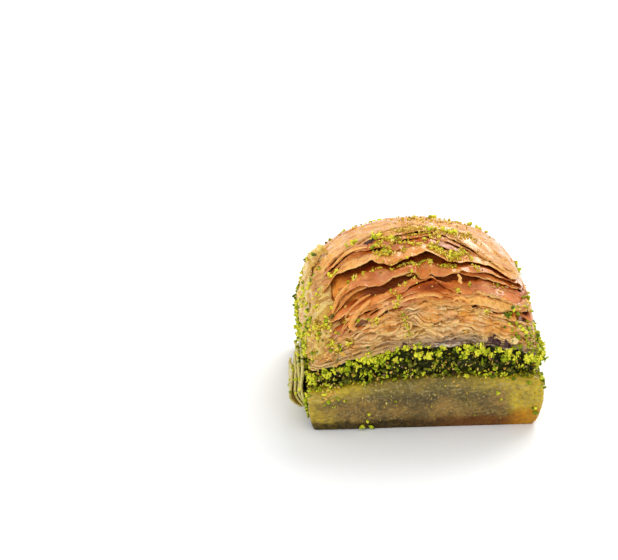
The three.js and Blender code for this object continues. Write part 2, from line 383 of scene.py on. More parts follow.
# ---- Meshes ----------------------------------------------------------------------------------
class MeshMaker:
    """Collects points in millimetres, faces and named values, and makes one object of them."""

    def __init__(self, name: str, middle: Vector) -> None:
        """Starts an empty mesh.

        Args:
            name: name of the object.
            middle: the middle of the piece's underside in the frame, in metres.
        """
        self.name = name
        self.middle = np.array(middle)
        self.points: list[Array] = []
        self.faces: list[Array] = []
        self.values: dict[str, list[Array]] = {}
        self.count = 0

    def add(self, points: Array, faces: Array, **values: Array | float) -> None:
        """Adds one shell.

        Args:
            points: positions in millimetres, one row for each.
            faces: rows of three or four numbers that count the shell's own points.
            values: numbers kept with the points under their names, or one for all of them.
        """
        self.points.append(points)
        self.faces.append(faces + self.count)
        for key, value in values.items():
            held = np.broadcast_to(np.asarray(value, float), (len(points),))
            self.values.setdefault(key, []).append(held)
        self.count += len(points)

    def add_skin(self, points: Array, around: int, **values: Array | float) -> None:
        """Adds a closed skin of rings, from the bottom up.

        Args:
            points: the rings' points, then a middle point for the bottom and one for the top.
            around: number of points in each ring.
            values: numbers kept with the points.
        """
        base, count = self.count, len(points) - 2
        self.add(points, ring_faces(count // around, around, False), **values)
        self.faces.append(cap_faces(base, around, base + count, False))
        self.faces.append(cap_faces(base + count - around, around, base + count + 1, True))

    def add_strip(self, outer: Array, inner: Array, **values: Array | float) -> None:
        """Adds a torn strip of leaf that is closed all round.

        Args:
            outer: rows of points on its outer side.
            inner: the same on its inner side.
            values: numbers kept with the points of the outer side and then of the inner side,
                whose rows run the other way.
        """
        base, (rows, count) = self.count, outer.shape[:2]
        points = np.concatenate([outer, inner[::-1]]).reshape(-1, 3)
        self.add(points, ring_faces(2 * rows, count, True, False), **values)
        row = np.arange(rows - 1)
        for column, turned in ((0, False), (count - 1, True)):
            above, below = row * count + column, (2 * rows - 1 - row) * count + column
            corners = [above, above + count, below - count, below]
            self.faces.append(np.stack(corners[::-1] if turned else corners, axis=-1) + base)

    def build(self, material: Material, smooth: bool = True) -> Piece:
        """Makes the object.

        Args:
            material: finish of the whole object.
            smooth: whether its faces are shaded as one round surface.

        Returns:
            The object, linked to the scene.
        """
        mesh = bpy.data.meshes.new(self.name)
        positions = np.concatenate(self.points) * MM + self.middle
        loops = np.concatenate([f.ravel() for f in self.faces])
        sizes = np.concatenate([np.full(len(f), f.shape[1]) for f in self.faces])
        mesh.vertices.add(len(positions))
        mesh.vertices.foreach_set("co", positions.astype(np.float32).ravel())
        mesh.loops.add(len(loops))
        mesh.loops.foreach_set("vertex_index", loops.astype(np.int32))
        mesh.polygons.add(len(sizes))
        starts = np.concatenate([[0], np.cumsum(sizes)[:-1]])
        mesh.polygons.foreach_set("loop_start", starts.astype(np.int32))
        mesh.polygons.foreach_set("use_smooth", np.full(len(sizes), smooth))
        mesh.update(calc_edges=True)
        for key, parts in self.values.items():
            layer = mesh.attributes.new(key, "FLOAT", "POINT")
            layer.data.foreach_set("value", np.concatenate(parts).astype(np.float32))
        mesh.validate()
        mesh.materials.append(material)
        return linked(self.name, mesh)


def linked(name: str, data: bpy.types.ID) -> Piece:
    """Makes an object of a mesh, light or camera, and links it to the scene.

    Args:
        name: its name.
        data: what it shows.

    Returns:
        The object.
    """
    made = bpy.data.objects.new(name, data)
    bpy.context.scene.collection.objects.link(made)
    return made


def ring_faces(rows: int, around: int, closed: bool, wrapped: bool = True) -> Array:
    """Gives the four-sided faces between rows of points that run round a shape.

    Args:
        rows: number of rows.
        around: number of points in each row.
        closed: whether the last row is joined to the first.
        wrapped: whether the last point of a row is joined to its first.

    Returns:
        One row of four point numbers for each face.
    """
    row = np.arange(rows if closed else rows - 1)[:, None]
    column = np.arange(around if wrapped else around - 1)[None, :]
    here, after = row * around, (row + 1) % rows * around
    beside = (column + 1) % around
    corners = [here + column, here + beside, after + beside, after + column]
    return np.stack(np.broadcast_arrays(*corners), axis=-1).reshape(-1, 4)


def cap_faces(ring_start: int, around: int, middle: int, upward: bool) -> Array:
    """Gives the three-sided faces between one ring of points and a middle point.

    Args:
        ring_start: number of the ring's first point.
        around: number of points in the ring.
        middle: number of the middle point.
        upward: whether the faces look up.

    Returns:
        One row of three point numbers for each face.
    """
    here = np.arange(around)
    beside = (here + 1) % around
    pair = (here, beside) if upward else (beside, here)
    return np.stack([pair[0] + ring_start, pair[1] + ring_start, np.full(around, middle)], axis=-1)


def surface_normals(grid: Array) -> Array:
    """Gives the unit normals of rings of points that go from the edge to the middle.

    Args:
        grid: the points, one ring in each row.

    Returns:
        One normal for each point.
    """
    along = np.roll(grid, -1, axis=1) - np.roll(grid, 1, axis=1)
    normal = np.cross(along, np.gradient(grid, axis=0))
    return normal / np.maximum(np.linalg.norm(normal, axis=-1, keepdims=True), 1e-9)


# ---- Shader graphs ---------------------------------------------------------------------------
class Graph:
    """Adds and joins nodes in one node tree."""

    def __init__(self, tree: bpy.types.NodeTree) -> None:
        """Keeps the tree that the nodes go into."""
        self.tree = tree

    def add(self, kind: str, inputs: dict | None = None, **settings: object) -> bpy.types.Node:
        """Adds a node.

        Args:
            kind: Blender's name of the node type.
            inputs: values or sockets for the node's inputs, by their names or places.
            settings: properties of the node.

        Returns:
            The node.
        """
        node = self.tree.nodes.new(kind)
        for key, value in settings.items():
            setattr(node, key, value)
        for key, value in (inputs or {}).items():
            self.feed(node.inputs[key], value)
        return node

    def feed(self, socket: bpy.types.NodeSocket, value: object) -> None:
        """Sets a socket, or joins another node's output to it.

        Args:
            socket: the input.
            value: a number, a colour or another node's output.
        """
        if isinstance(value, bpy.types.NodeSocket):
            self.tree.links.new(value, socket)
        elif isinstance(value, tuple) and len(value) == 3 and socket.type == "RGBA":
            socket.default_value = (*value, 1.0)
        else:
            socket.default_value = value

    def math(self, operation: str, first: object, second: object = 0.0, clamp: bool = False) -> object:
        """Adds a Math node and gives its output."""
        node = self.add("ShaderNodeMath", {0: first, 1: second}, operation=operation, use_clamp=clamp)
        return node.outputs[0]

    def times(self, first: object, second: object) -> object:
        """Gives the product of two values."""
        return self.math("MULTIPLY", first, second)

    def remap(self, value: object, old: Span, new: Span = (0.0, 1.0)) -> object:
        """Adds a clamped Map Range node and gives its output."""
        inputs = {"Value": value, "From Min": old[0], "From Max": old[1], "To Min": new[0], "To Max": new[1]}
        return self.add("ShaderNodeMapRange", inputs).outputs["Result"]

    def mix(self, part: object, first: object, second: object) -> object:
        """Mixes two colours.

        Args:
            part: 0 for the first colour, 1 for the second.
            first: the first colour.
            second: the second colour.

        Returns:
            The mixed colour.
        """
        node = self.add("ShaderNodeMix", data_type="RGBA")
        for key, value in (("Factor", part), ("A", first), ("B", second)):
            self.feed(node.inputs[key], value)
        return node.outputs["Result"]

    def texture(self, place: object, scale: object, detail: float, **more: float) -> object:
        """Adds a Noise Texture, with more of its inputs by name, and gives its value."""
        inputs = {"Vector": place, "Scale": scale, "Detail": detail, **more}
        return self.add("ShaderNodeTexNoise", inputs).outputs["Fac"]

    def noise(self, place: object, wavelength: float, detail: float = 2.0, rough: float = 0.5) -> object:
        """Gives noise with humps of the given length in millimetres."""
        return self.texture(place, 1 / (wavelength * MM), detail, Roughness=rough)

    def place(self) -> object:
        """Gives the coordinates of the piece, in metres."""
        return self.add("ShaderNodeTexCoord").outputs["Object"]

    def squeezed(self, x: float, y: float, z: float) -> object:
        """Gives the coordinates of the piece, stretched along each axis."""
        return self.add("ShaderNodeMapping", {"Vector": self.place(), "Scale": (x, y, z)}).outputs["Vector"]

    def value(self, name: str) -> object:
        """Gives a number that is kept with the mesh's points."""
        return self.add("ShaderNodeAttribute", attribute_name=name).outputs["Fac"]


class Groups:
    """Node groups for the effects that several finishes share, each built once."""

    SOCKETS = {0: "NodeSocketFloat", 3: "NodeSocketVector", 4: "NodeSocketColor"}

    def __init__(self) -> None:
        """Builds the groups."""
        self.mottle = self._mottle()
        self.wetness = self._wetness()
        self.grain = self._grain()

    def _start(self, name: str, output: str, length: int, **inputs: object) -> tuple:
        """Makes an empty group with its sockets.

        Args:
            name: name of the group.
            output: name of its output.
            length: 4 where the output is a colour, 0 where it is a number.
            inputs: default of each input, by its name.

        Returns:
            A Graph of the group, its inputs as sockets to read, and the socket to feed.
        """
        tree = bpy.data.node_groups.new(name, "ShaderNodeTree")
        for key, default in inputs.items():
            kind = self.SOCKETS[len(default) if isinstance(default, tuple) else 0]
            socket = tree.interface.new_socket(key, in_out="INPUT", socket_type=kind)
            socket.default_value = default
        tree.interface.new_socket(output, in_out="OUTPUT", socket_type=self.SOCKETS[length])
        graph = Graph(tree)
        return graph, graph.add("NodeGroupInput").outputs, graph.add("NodeGroupOutput").inputs[output]

    def _mottle(self) -> bpy.types.NodeTree:
        """Builds the uneven colour of something baked or soaked: two scales of lighter and darker spots.

        Returns:
            The group.
        """
        colours = {"Colour": (0.5, 0.5, 0.5, 1), "Spots": (0.3, 0.3, 0.3, 1)}
        graph, given, out = self._start("mottle", "Colour", 4, **colours, Amount=0.5, Scale=300.0)
        wide = graph.texture(graph.place(), given["Scale"], 3.0, Roughness=0.6)
        fine = graph.texture(graph.place(), graph.times(given["Scale"], 5.3), 2.0)
        spots = graph.remap(wide, (0.42, 0.68))
        specks = graph.remap(fine, (0.45, 0.75), (0.0, 0.6))
        part = graph.math("MULTIPLY", graph.math("MAXIMUM", spots, specks), given["Amount"], clamp=True)
        graph.feed(out, graph.mix(part, given["Colour"], given["Spots"]))
        return graph.tree

    def _wetness(self) -> bpy.types.NodeTree:
        """Builds the patches where syrup has dried duller, as a roughness.

        Returns:
            The group.
        """
        graph, given, out = self._start("wetness", "Roughness", 0, Wet=0.2, Dry=0.5, Scale=400.0)
        patches = graph.texture(graph.place(), given["Scale"], 3.0, Roughness=0.55)
        span = graph.math("SUBTRACT", given["Dry"], given["Wet"])
        rise = graph.times(graph.remap(patches, (0.38, 0.64)), span)
        graph.feed(out, graph.math("ADD", rise, given["Wet"]))
        return graph.tree

    def _grain(self) -> bpy.types.NodeTree:
        """Builds a fine uneven height from blisters and wrinkles, for a bump.

        Returns:
            The group.
        """
        inputs = {"Vector": (0, 0, 0), "Scale": 900.0, "Wrinkles": 0.5}
        graph, given, out = self._start("grain", "Height", 0, **inputs)
        lumps = graph.texture(given["Vector"], given["Scale"], 3.0)
        wrinkles = graph.texture(given["Vector"], graph.times(given["Scale"], 0.55), 2.0, Distortion=1.2)
        ridge = graph.math("ABSOLUTE", graph.math("SUBTRACT", wrinkles, 0.5))
        graph.feed(out, graph.math("SUBTRACT", lumps, graph.times(ridge, given["Wrinkles"])))
        return graph.tree


@dataclass(frozen=True)
class Gloss:
    """How light plays on a finish: values that are the same all over it."""

    coat_roughness: float
    glow: float
    glow_reach: Colour
    coat: float = 0.0
    ior: float = 1.45
    specular: float = 0.15


class Finish:
    """A material that is made of one Principled shader, with the shared groups at hand."""

    def __init__(self, name: str, groups: Groups, gloss: Gloss) -> None:
        """Makes the material and its shader.

        Args:
            name: name of the material.
            groups: the shared node groups.
            gloss: the shader's constant values.
        """
        self.material = bpy.data.materials.new(name)
        self.material.use_nodes = True
        self.material.node_tree.nodes.clear()
        self.graph = Graph(self.material.node_tree)
        self.groups = groups
        constants = {
            "Coat Weight": gloss.coat,
            "Coat Roughness": gloss.coat_roughness,
            "IOR": gloss.ior,
            "Specular IOR Level": gloss.specular,
            "Subsurface Weight": gloss.glow,
            "Subsurface Radius": gloss.glow_reach,
            "Subsurface Scale": MM,
        }
        self.shader = self.graph.add("ShaderNodeBsdfPrincipled", constants)
        self.graph.add("ShaderNodeOutputMaterial", {"Surface": self.shader.outputs["BSDF"]})

    def group(self, tree: bpy.types.NodeTree, **inputs: object) -> object:
        """Places a shared group, with its inputs by name, and gives its output."""
        return self.graph.add("ShaderNodeGroup", inputs, node_tree=tree).outputs[0]

    def mottled(self, colour: object, spots: object, amount: float, spot_size: float) -> object:
        """Gives a colour with spots of the given size in millimetres."""
        scale = 1 / (spot_size * MM)
        return self.group(self.groups.mottle, Colour=colour, Spots=spots, Amount=amount, Scale=scale)

    def wet(self, low: float, high: float, patch_size: float) -> None:
        """Sets a roughness that changes in patches of the given size in millimetres."""
        patches = self.group(self.groups.wetness, Wet=low, Dry=high, Scale=1 / (patch_size * MM))
        self.graph.feed(self.shader.inputs["Roughness"], patches)

    def grained(self, place: object, scale: float, wrinkles: float) -> object:
        """Gives a fine uneven height of about 0 to 1."""
        return self.group(self.groups.grain, Vector=place, Scale=scale, Wrinkles=wrinkles)

    def rough(self, height: object, depth: float, strength: float) -> None:
        """Sets a bump.

        Args:
            height: a height of about 0 to 1.
            depth: what a height of 1 stands for, in millimetres.
            strength: how much of the bump is shown.
        """
        inputs = {"Height": height, "Distance": depth * MM, "Strength": strength}
        bump = self.graph.add("ShaderNodeBump", inputs)
        self.graph.feed(self.shader.inputs["Normal"], bump.outputs["Normal"])


class SoakedFinish(Finish):
    """Dense leaves soaked in syrup: olive tan, streaked along the leaves, stained at the ends, dark along the
    foot from browned crust and painted contact shadow, with painted glints.
    """

    PALE: Colour = (0.33, 0.192, 0.036)
    OLIVE: Colour = (0.125, 0.08, 0.018)
    GLOOM: Colour = (0.05, 0.04, 0.011)
    STAIN: Colour = (0.62, 0.45, 0.012)
    RIM_CRUST_AND_SHADOW: Colour = (0.016, 0.008, 0.0006)
    RED_RIM: Colour = (0.145, 0.036, 0.004)
    AMBER: Colour = (0.5, 0.19, 0.008)
    PALE_LINES_AND_GLINTS: Colour = (0.56, 0.46, 0.19)
    PEELED: Colour = (0.78, 0.67, 0.24)

    def __init__(self, groups: Groups) -> None:
        """Builds the finish.

        Args:
            groups: the shared node groups.
        """
        super().__init__("soaked_pastry", groups, Gloss(0.08, 0.3, (2.0, 1.3, 0.4)))
        graph = self.graph
        mix, remap, times, value = graph.mix, graph.remap, graph.times, graph.value
        streaks = graph.noise(graph.squeezed(0.6, 0.6, 1.0), 0.6, 4.0, 0.7)
        cloud = graph.noise(graph.squeezed(0.8, 0.8, 1.0), 3.0, 3.0)
        both = graph.math("ADD", times(streaks, 0.6), times(cloud, 0.5))
        body = mix(remap(both, (0.46, 0.64)), self.OLIVE, self.PALE)
        body = mix(times(value("gloom"), remap(both, (0.46, 0.66), (0.95, 0.55))), body, self.GLOOM)
        body = mix(times(value("stain"), remap(streaks, (0.3, 0.6), (0.5, 1.0))), body, self.STAIN)
        thin = graph.noise(graph.squeezed(0.12, 0.12, 1.0), 0.35)
        body = mix(times(remap(thin, (0.54, 0.7), (0.0, 0.45)), value("lines")), body, self.PALE_LINES_AND_GLINTS)
        red = value("red")
        # The dark foot is partly browned crust and partly painted contact shadow.
        rim_colour = mix(remap(red, (0.0, 0.6)), self.RIM_CRUST_AND_SHADOW, self.RED_RIM)
        rim_colour = mix(remap(red, (0.6, 1.0)), rim_colour, self.AMBER)
        rim = times(value("rim"), remap(streaks, (0.3, 0.7), (1.0, 0.7)))
        body = mix(rim, body, rim_colour)
        graph.feed(self.shader.inputs["Coat Weight"], remap(rim, (0.0, 0.8), (0.4, 0.0)))
        body = mix(times(value("peeled"), 0.85), body, self.PEELED)
        # Painted glints: small pale specks stand for light caught on the wet surface.
        specks = remap(graph.noise(graph.place(), 0.42), (0.55, 0.72), (0.0, 0.5))
        body = mix(times(specks, remap(rim, (0.2, 0.8), (1.0, 0.15))), body, self.PALE_LINES_AND_GLINTS)
        graph.feed(self.shader.inputs["Base Color"], self.mottled(body, self.GLOOM, 0.4, 0.8))
        self.wet(0.2, 0.5, 1.0)
        self.rough(self.grained(graph.squeezed(0.7, 0.7, 1.0), 1500.0, 0.8), 0.35, 1.0)


class LeafTone(Enum):
    """Which part of the stack a leaf's colours come from."""

    PALE = "pale_leaves"
    BAKED = "baked_leaves"
    DRAPED = "draped_leaf"
    INNER = "inner_pastry"


@dataclass(frozen=True)
class LeafColours:
    """Colours of a run of leaves, from the lowest of them to the crest, a painted highlight for the lips, and
    painted shade colours for the hollows deeper in.
    """

    low: Colour
    high: Colour
    crest: Colour
    lip_highlight: Colour
    blush: Colour
    spots: Colour
    warm_shade: Colour
    deep: Colour


class LeafFinish(Finish):
    """Thin baked leaves: the tone changes up the stack and in browned spots, with a highlight painted along
    each lip and shade painted under the lips and in the hollows.
    """

    COLOURS = {
        LeafTone.PALE: LeafColours(
            (0.68, 0.4, 0.11), (0.8, 0.32, 0.045), (0.8, 0.32, 0.045), (0.9, 0.64, 0.29),
            (0.52, 0.25, 0.07), (0.42, 0.2, 0.05), (0.4, 0.2, 0.05), (0.15, 0.065, 0.017),
        ),
        LeafTone.BAKED: LeafColours(
            (0.74, 0.3, 0.045), (0.7, 0.215, 0.032), (0.76, 0.375, 0.092), (0.95, 0.52, 0.16),
            (0.62, 0.22, 0.09), (0.4, 0.1, 0.012), (0.46, 0.085, 0.006), (0.14, 0.016, 0.002),
        ),
        LeafTone.DRAPED: LeafColours(
            (0.56, 0.31, 0.055), (0.63, 0.385, 0.065), (0.82, 0.6, 0.18), (0.88, 0.66, 0.24),
            (0.7, 0.36, 0.12), (0.36, 0.12, 0.015), (0.3, 0.12, 0.02), (0.12, 0.04, 0.01),
        ),
        # Very light colours, so that the packed leaves look lit in their shaded hollow at the left: painted
        # light.
        LeafTone.INNER: LeafColours(
            (0.9, 0.38, 0.07), (0.95, 0.36, 0.05), (0.95, 0.36, 0.05), (0.95, 0.5, 0.12),
            (0.8, 0.28, 0.05), (0.3, 0.07, 0.01), (0.54, 0.15, 0.018), (0.2, 0.04, 0.005),
        ),
    }
    MAUVE: Colour = (0.17, 0.11, 0.085)
    BLEACHED: Colour = (0.72, 0.62, 0.46)

    def __init__(self, groups: Groups, tone: LeafTone) -> None:
        """Builds the finish.

        Args:
            groups: the shared node groups.
            tone: which leaves it is for.
        """
        super().__init__(tone.value, groups, Gloss(0.1, 0.25, (1.3, 0.5, 0.14)))
        graph, colours = self.graph, self.COLOURS[tone]
        streaks = self._streaks()
        body = self._body(streaks, colours)
        if tone is LeafTone.PALE:
            thin = graph.noise(graph.squeezed(0.12, 0.5, 1.0), 0.32)
            lined = graph.mix(graph.remap(thin, (0.5, 0.6), (0.0, 0.9)), self.MAUVE, self.BLEACHED)
            body = graph.mix(graph.times(graph.value("mauve"), 0.9), body, lined)
        tint = graph.remap(graph.value("leaf"), (0.0, 1.3), (0.8, 1.28))
        lit = graph.add("ShaderNodeHueSaturation", {"Value": tint, "Color": body}).outputs["Color"]
        # Painted shade: where a leaf lies under a lip, in a gap or in a hollow, its colour turns warm
        # red-brown and then near black.
        under = graph.value("under")
        spotted = self.mottled(lit, colours.spots, 0.4, 2.2)
        warm_shade = graph.mix(graph.remap(under, (0.12, 0.6), (0.0, 0.95)), spotted, colours.warm_shade)
        deep = graph.mix(graph.remap(under, (0.55, 1.0), (0.0, 0.95)), warm_shade, colours.deep)
        graph.feed(self.shader.inputs["Base Color"], deep)
        syrup = graph.remap(graph.noise(graph.place(), 2.6), (0.4, 0.6), (0.2, 1.0))
        shown = graph.remap(under, (0.2, 0.7), (1.0, 0.0))
        graph.feed(self.shader.inputs["Coat Weight"], graph.times(syrup, shown))
        self.wet(0.26, 0.6, 2.2)
        grain = self.grained(graph.place(), 900.0, 1.4)
        self.rough(graph.math("SUBTRACT", grain, graph.times(streaks, 1.4)), 0.35, 0.9)

    def _streaks(self) -> object:
        """Gives the noise along the leaves, which turns spongy near the crest.

        Returns:
            The noise, of about 0 to 1.
        """
        graph = self.graph
        along = graph.noise(graph.squeezed(0.3, 0.7, 1.0), 1.1, 4.0, 0.65)
        spongy = graph.noise(graph.place(), 1.2, 4.0, 0.7)
        return graph.mix(graph.remap(graph.value("height"), (0.82, 0.97)), along, spongy)

    def _body(self, streaks: object, colours: LeafColours) -> object:
        """Gives the colour up the stack, with blushes, streaks and a highlight painted along the lips.

        Args:
            streaks: the noise along the leaves.
            colours: the run's colours.

        Returns:
            The colour.
        """
        graph = self.graph
        mix, remap, height = graph.mix, graph.remap, graph.value("height")
        body = mix(remap(height, (0.0, 0.3)), colours.low, colours.high)
        patches = graph.noise(graph.place(), 6.0)
        body = mix(remap(patches, (0.46, 0.62), (0.0, 0.8)), body, colours.blush)
        body = mix(remap(height, (0.8, 0.97), (0.0, 0.85)), body, colours.crest)
        # Painted highlight: the palest streaks along the crinkles take the lip colour.
        body = mix(remap(streaks, (0.46, 0.36), (0.0, 0.55)), body, colours.lip_highlight)
        body = mix(remap(streaks, (0.53, 0.68), (0.0, 0.8)), body, colours.spots)
        # Painted highlight: a pale band along each lip, broken into patches.
        lip_highlight = remap(graph.value("inset"), (0.0, 0.45), (0.85, 0.0))
        highlight_patches = remap(graph.noise(graph.place(), 3.2), (0.4, 0.58), (0.15, 1.0))
        return mix(graph.times(lip_highlight, highlight_patches), body, colours.lip_highlight)


class CrumbTone(Enum):
    """The kinds of crumb and flake."""

    BRIGHT = "bright_crumbs"
    DEEP = "deep_crumbs"
    DUST = "nut_dust"
    FLAKE = "golden_flakes"
    SKIN = "nut_skins"


class CrumbFinish(Finish):
    """Chopped nut: each crumb has its own shade between three, with a rough broken surface."""

    SHADES = {
        CrumbTone.BRIGHT: ((0.07, 0.11, 0.003), (0.38, 0.46, 0.005), (0.84, 0.8, 0.05)),
        # Near black through olive: the darkest shades are painted shade in the band's recess.
        CrumbTone.DEEP: ((0.01, 0.009, 0.002), (0.04, 0.05, 0.004), (0.2, 0.2, 0.02)),
        CrumbTone.DUST: ((0.3, 0.17, 0.007), (0.7, 0.5, 0.03), (0.95, 0.78, 0.2)),
        CrumbTone.FLAKE: ((0.42, 0.2, 0.03), (0.72, 0.42, 0.08), (0.9, 0.7, 0.34)),
        CrumbTone.SKIN: ((0.018, 0.008, 0.008), (0.075, 0.03, 0.031), (0.28, 0.15, 0.12)),
    }

    def __init__(self, groups: Groups, tone: CrumbTone) -> None:
        """Builds the finish.

        Args:
            groups: the shared node groups.
            tone: which crumbs it is for.
        """
        super().__init__(tone.value, groups, Gloss(0.3, 0.12, (0.5, 0.6, 0.15), coat=0.05))
        graph = self.graph
        dark, middle, light = self.SHADES[tone]
        shade = graph.value("shade")
        body = graph.mix(graph.remap(shade, (0.0, 0.5)), dark, middle)
        body = graph.mix(graph.remap(shade, (0.5, 1.0)), body, light)
        graph.feed(self.shader.inputs["Base Color"], self.mottled(body, dark, 0.35, 0.5))
        self.wet(0.35, 0.75, 0.8)
        self.rough(self.grained(graph.place(), 2600.0, 0.6), 0.15, 0.6)


# ---- Lower pastry ----------------------------------------------------------------------------
@dataclass
class LowerPastry:
    """The dense slab of soaked leaves."""

    form: Form
    middle: Vector
    around: int = 660
    rows: int = 42
    leaves: int = 22
    squareness: float = 60.0
    ledge: float = 0.16
    lumps: float = 0.22
    foot_inset: float = 0.05
    noise: Noise = field(default_factory=lambda: Noise(SEED + 1))

    def side(self, share: Array, angle: Array) -> Array:
        """Gives the slab's sides.

        Args:
            share: part of the way up, one for each row.
            angle: direction, one for each column.

        Returns:
            A grid of points in millimetres.
        """
        form = self.form
        half_x, half_y = form.base_width / 2, form.base_depth / 2
        limits = (-half_x, half_x, -half_y, half_y)
        lean = form.spread * share + form.bulge * np.sin(math.pi * share)
        inset = self.foot_inset * np.exp(-share * 18) + 0.5 * ramp(0.93, 1.0, share) - lean
        x, y = np.broadcast_arrays(*rounded_box(limits, self.squareness, inset, angle))
        z = share * form.pillow(form.lower_top, x, y)
        where = stacked(x, y, z)
        wander = 0.35 * self.noise.at(where * (0.3, 0.3, 1.0), 4.0)
        step = np.abs(((z + wander) * self.leaves / form.lower_top.corner) % 1.0 - 0.5)
        out = self.ledge * (0.5 - step) * (0.6 + 0.7 * self.noise.at(where * (0.4, 0.4, 2.2), 2.0))
        out += self.lumps * self.noise.layered(where * (0.7, 0.7, 1.0), 3.2, 4)
        out += 0.35 * self.noise.at(where * (1, 1, 0.2), 9.0)
        x, y = rounded_box(limits, self.squareness, inset - out * ramp(0.0, 0.03, share), angle)
        return stacked(x, y, z)

    def build_slab(self, finish: Material) -> Piece:
        """Builds the slab as one closed skin.

        Args:
            finish: its material.

        Returns:
            The slab.
        """
        form, top = self.form, self.form.lower_top
        side = self.side(np.linspace(0, 1, self.rows)[:, None], rim_angles(self.around)[None, :])
        inner = [form.drawn_in(side[-1], inward, top) for inward in (0.9, 0.7, 0.4)]
        points = np.concatenate([*side, *inner, [[0, 0, 0], [0, 0, form.pillow(top, 0.0, 0.0)]]])
        maker = MeshMaker("soaked_slab", self.middle)
        maker.add_skin(points, self.around, **self.stains(points))
        return maker.build(finish)

    def stains(self, points: Array) -> dict[str, Array]:
        """Gives where the slab is stained by nut oil and lined, and where its foot is darkened by browned
        crust and painted contact shadow.

        Args:
            points: places on the slab in millimetres.

        Returns:
            Numbers from 0 to 1 for each point, under the names that the finish reads.
        """
        form = self.form
        x, y, z = points.T
        up = z / form.pillow(form.lower_top, x, y)
        patch = self.noise.layered(points + 60.0, 4.5, 3)
        fine = self.noise.layered(points + 80.0, 1.6, 2)
        across = np.abs(x + 0.6) / form.half_width
        ends = ramp(0.62, 0.98, across + 0.12 * patch) * np.where(x > 0, 1.0, 0.72)
        upper = ramp(0.6, 0.98, up + 0.1 * fine) * (0.25 + 0.65 * ramp(0.25, 0.8, across))
        rim_height = 2.0 + 0.5 * ramp(-14, 8, x) + 1.4 * ramp(14, 20, x + 1.5 * patch)
        return {
            "stain": np.clip(np.maximum(ends, upper) + 0.35 * np.maximum(patch, 0) * across, 0, 1),
            "lines": ramp(0.62, 0.78, up) * (1 - ramp(0.9, 0.97, up)),
            # Painted contact shadow, together with the browned crust, along the foot; the band is higher
            # towards the right.
            "rim": 1 - ramp(0.6, 1.45, (z + 0.5 * fine) / rim_height),
            "red": 0.62 * ramp(-6, 12, x) + 0.38 * ramp(14, 19, x),
            "gloom": ramp(0.42, 0.85, up + 0.2 * patch) * (1 - ramp(0.5, 0.85, across)),
            "peeled": 0 * z,
        }


@dataclass
class PeeledFlap:
    """Soaked leaves that have come away from the left side near the front, and stand off it."""

    form: Form
    middle: Vector
    front: float = -16.6
    back: float = -6.5
    foot: float = 4.2
    tops: tuple[float, ...] = (13.2, 12.8, 11.4, 9.6)
    stands: tuple[float, ...] = (1.0, 1.7, 2.2, 2.9)
    thickness: float = 0.45
    columns: int = 44
    rows: int = 32
    noise: Noise = field(default_factory=lambda: Noise(SEED + 5))

    def wall(self, z: Array) -> Array:
        """Gives the place of the lower pastry's left side.

        Args:
            z: heights above the underside.

        Returns:
            One X for each height.
        """
        form = self.form
        share = np.clip(z / form.lower_top.corner, 0, 1)
        return -(form.base_width / 2 + form.spread * share + form.bulge * np.sin(math.pi * share))

    def build(self, finish: Material) -> Piece:
        """Builds the peeled leaves as one object.

        Args:
            finish: their material.

        Returns:
            The flap.
        """
        maker = MeshMaker("peeled_flap", self.middle)
        for number, (top, stand) in enumerate(zip(self.tops, self.stands)):
            self._add_slab(maker, number, top, stand)
        return maker.build(finish)

    def _add_slab(self, maker: MeshMaker, number: int, top: float, stand: float) -> None:
        """Adds one peeled leaf.

        Args:
            maker: the mesh that it goes into.
            number: its place, counted outwards.
            top: height of its upper edge.
            stand: how far its upper edge stands off the side.
        """
        across = np.linspace(0, 1, self.columns)[None, :]
        up = np.linspace(0, 1, self.rows)[:, None]
        y = self.front + 0.35 * number + (self.back - self.front - 0.9 * number) * across
        y = y + 0.45 * self.noise.layered(stacked(across * 9, up * 6, number * 7.0), 3.0, 2)
        high = top + 1.3 * self.noise.layered(stacked(y, 0.0, number * 9.0), 2.6, 3)
        foot = self.foot - 0.9 * number * 0.35
        z = foot + (high - foot) * up
        ruffle = self.noise.layered(stacked(y, z * 0.4, number * 3.0), 3.0, 3)
        away = 0.12 + stand * ramp(-0.25, 0.4, up) + 0.4 * ruffle
        outer = stacked(self.wall(z) - np.maximum(away, 0.1), y, z)
        inner = outer + np.array([self.thickness, 0, 0])
        bare = {"rim": 0.0, "red": 0.0, "gloom": 0.0}
        maker.add_strip(outer, inner, stain=0.3, lines=1.0, peeled=1.0 - 0.12 * number, **bare)


# ---- Crumbs ----------------------------------------------------------------------------------
def any_way(random: np.random.Generator) -> Array:
    """Draws a direction of length 1."""
    way = random.normal(size=3)
    return way / np.linalg.norm(way)


class CrumbShape:
    """Rough lumps to copy: a ball whose sides are chipped flat, one in three drawn out long."""

    CHIPS = 7

    def __init__(self, fine: bool, kinds: int, seed: int) -> None:
        """Makes the lumps.

        Args:
            fine: whether each has 80 faces and not 20.
            kinds: how many different lumps.
            seed: number that fixes them.
        """
        ball = bmesh.new()
        bmesh.ops.create_icosphere(ball, subdivisions=2 if fine else 1, radius=1.0)
        ball.verts.ensure_lookup_table()
        points = np.array([v.co for v in ball.verts])
        self.faces = np.array([[v.index for v in f.verts] for f in ball.faces])
        ball.free()
        random = np.random.default_rng(seed)
        noise = Noise(seed)
        self.lumps = []
        self.tints = []
        for kind in range(kinds):
            place = points + kind * 9.0
            lump = points * (1 + 0.3 * noise.layered(place, 1.1, 2))[:, None]
            for _ in range(self.CHIPS):
                way = any_way(random)
                beyond = np.maximum(0, lump @ way - random.uniform(0.45, 0.8))
                lump = lump - beyond[:, None] * way
            long = (0.6, 0.7, 1.75) if kind % 3 == 0 else (1, 1, 1)
            self.lumps.append(lump * random.uniform(0.75, 1.3, 3) * long)
            self.tints.append(0.3 * noise.layered(place + 40.0, 0.9, 2))


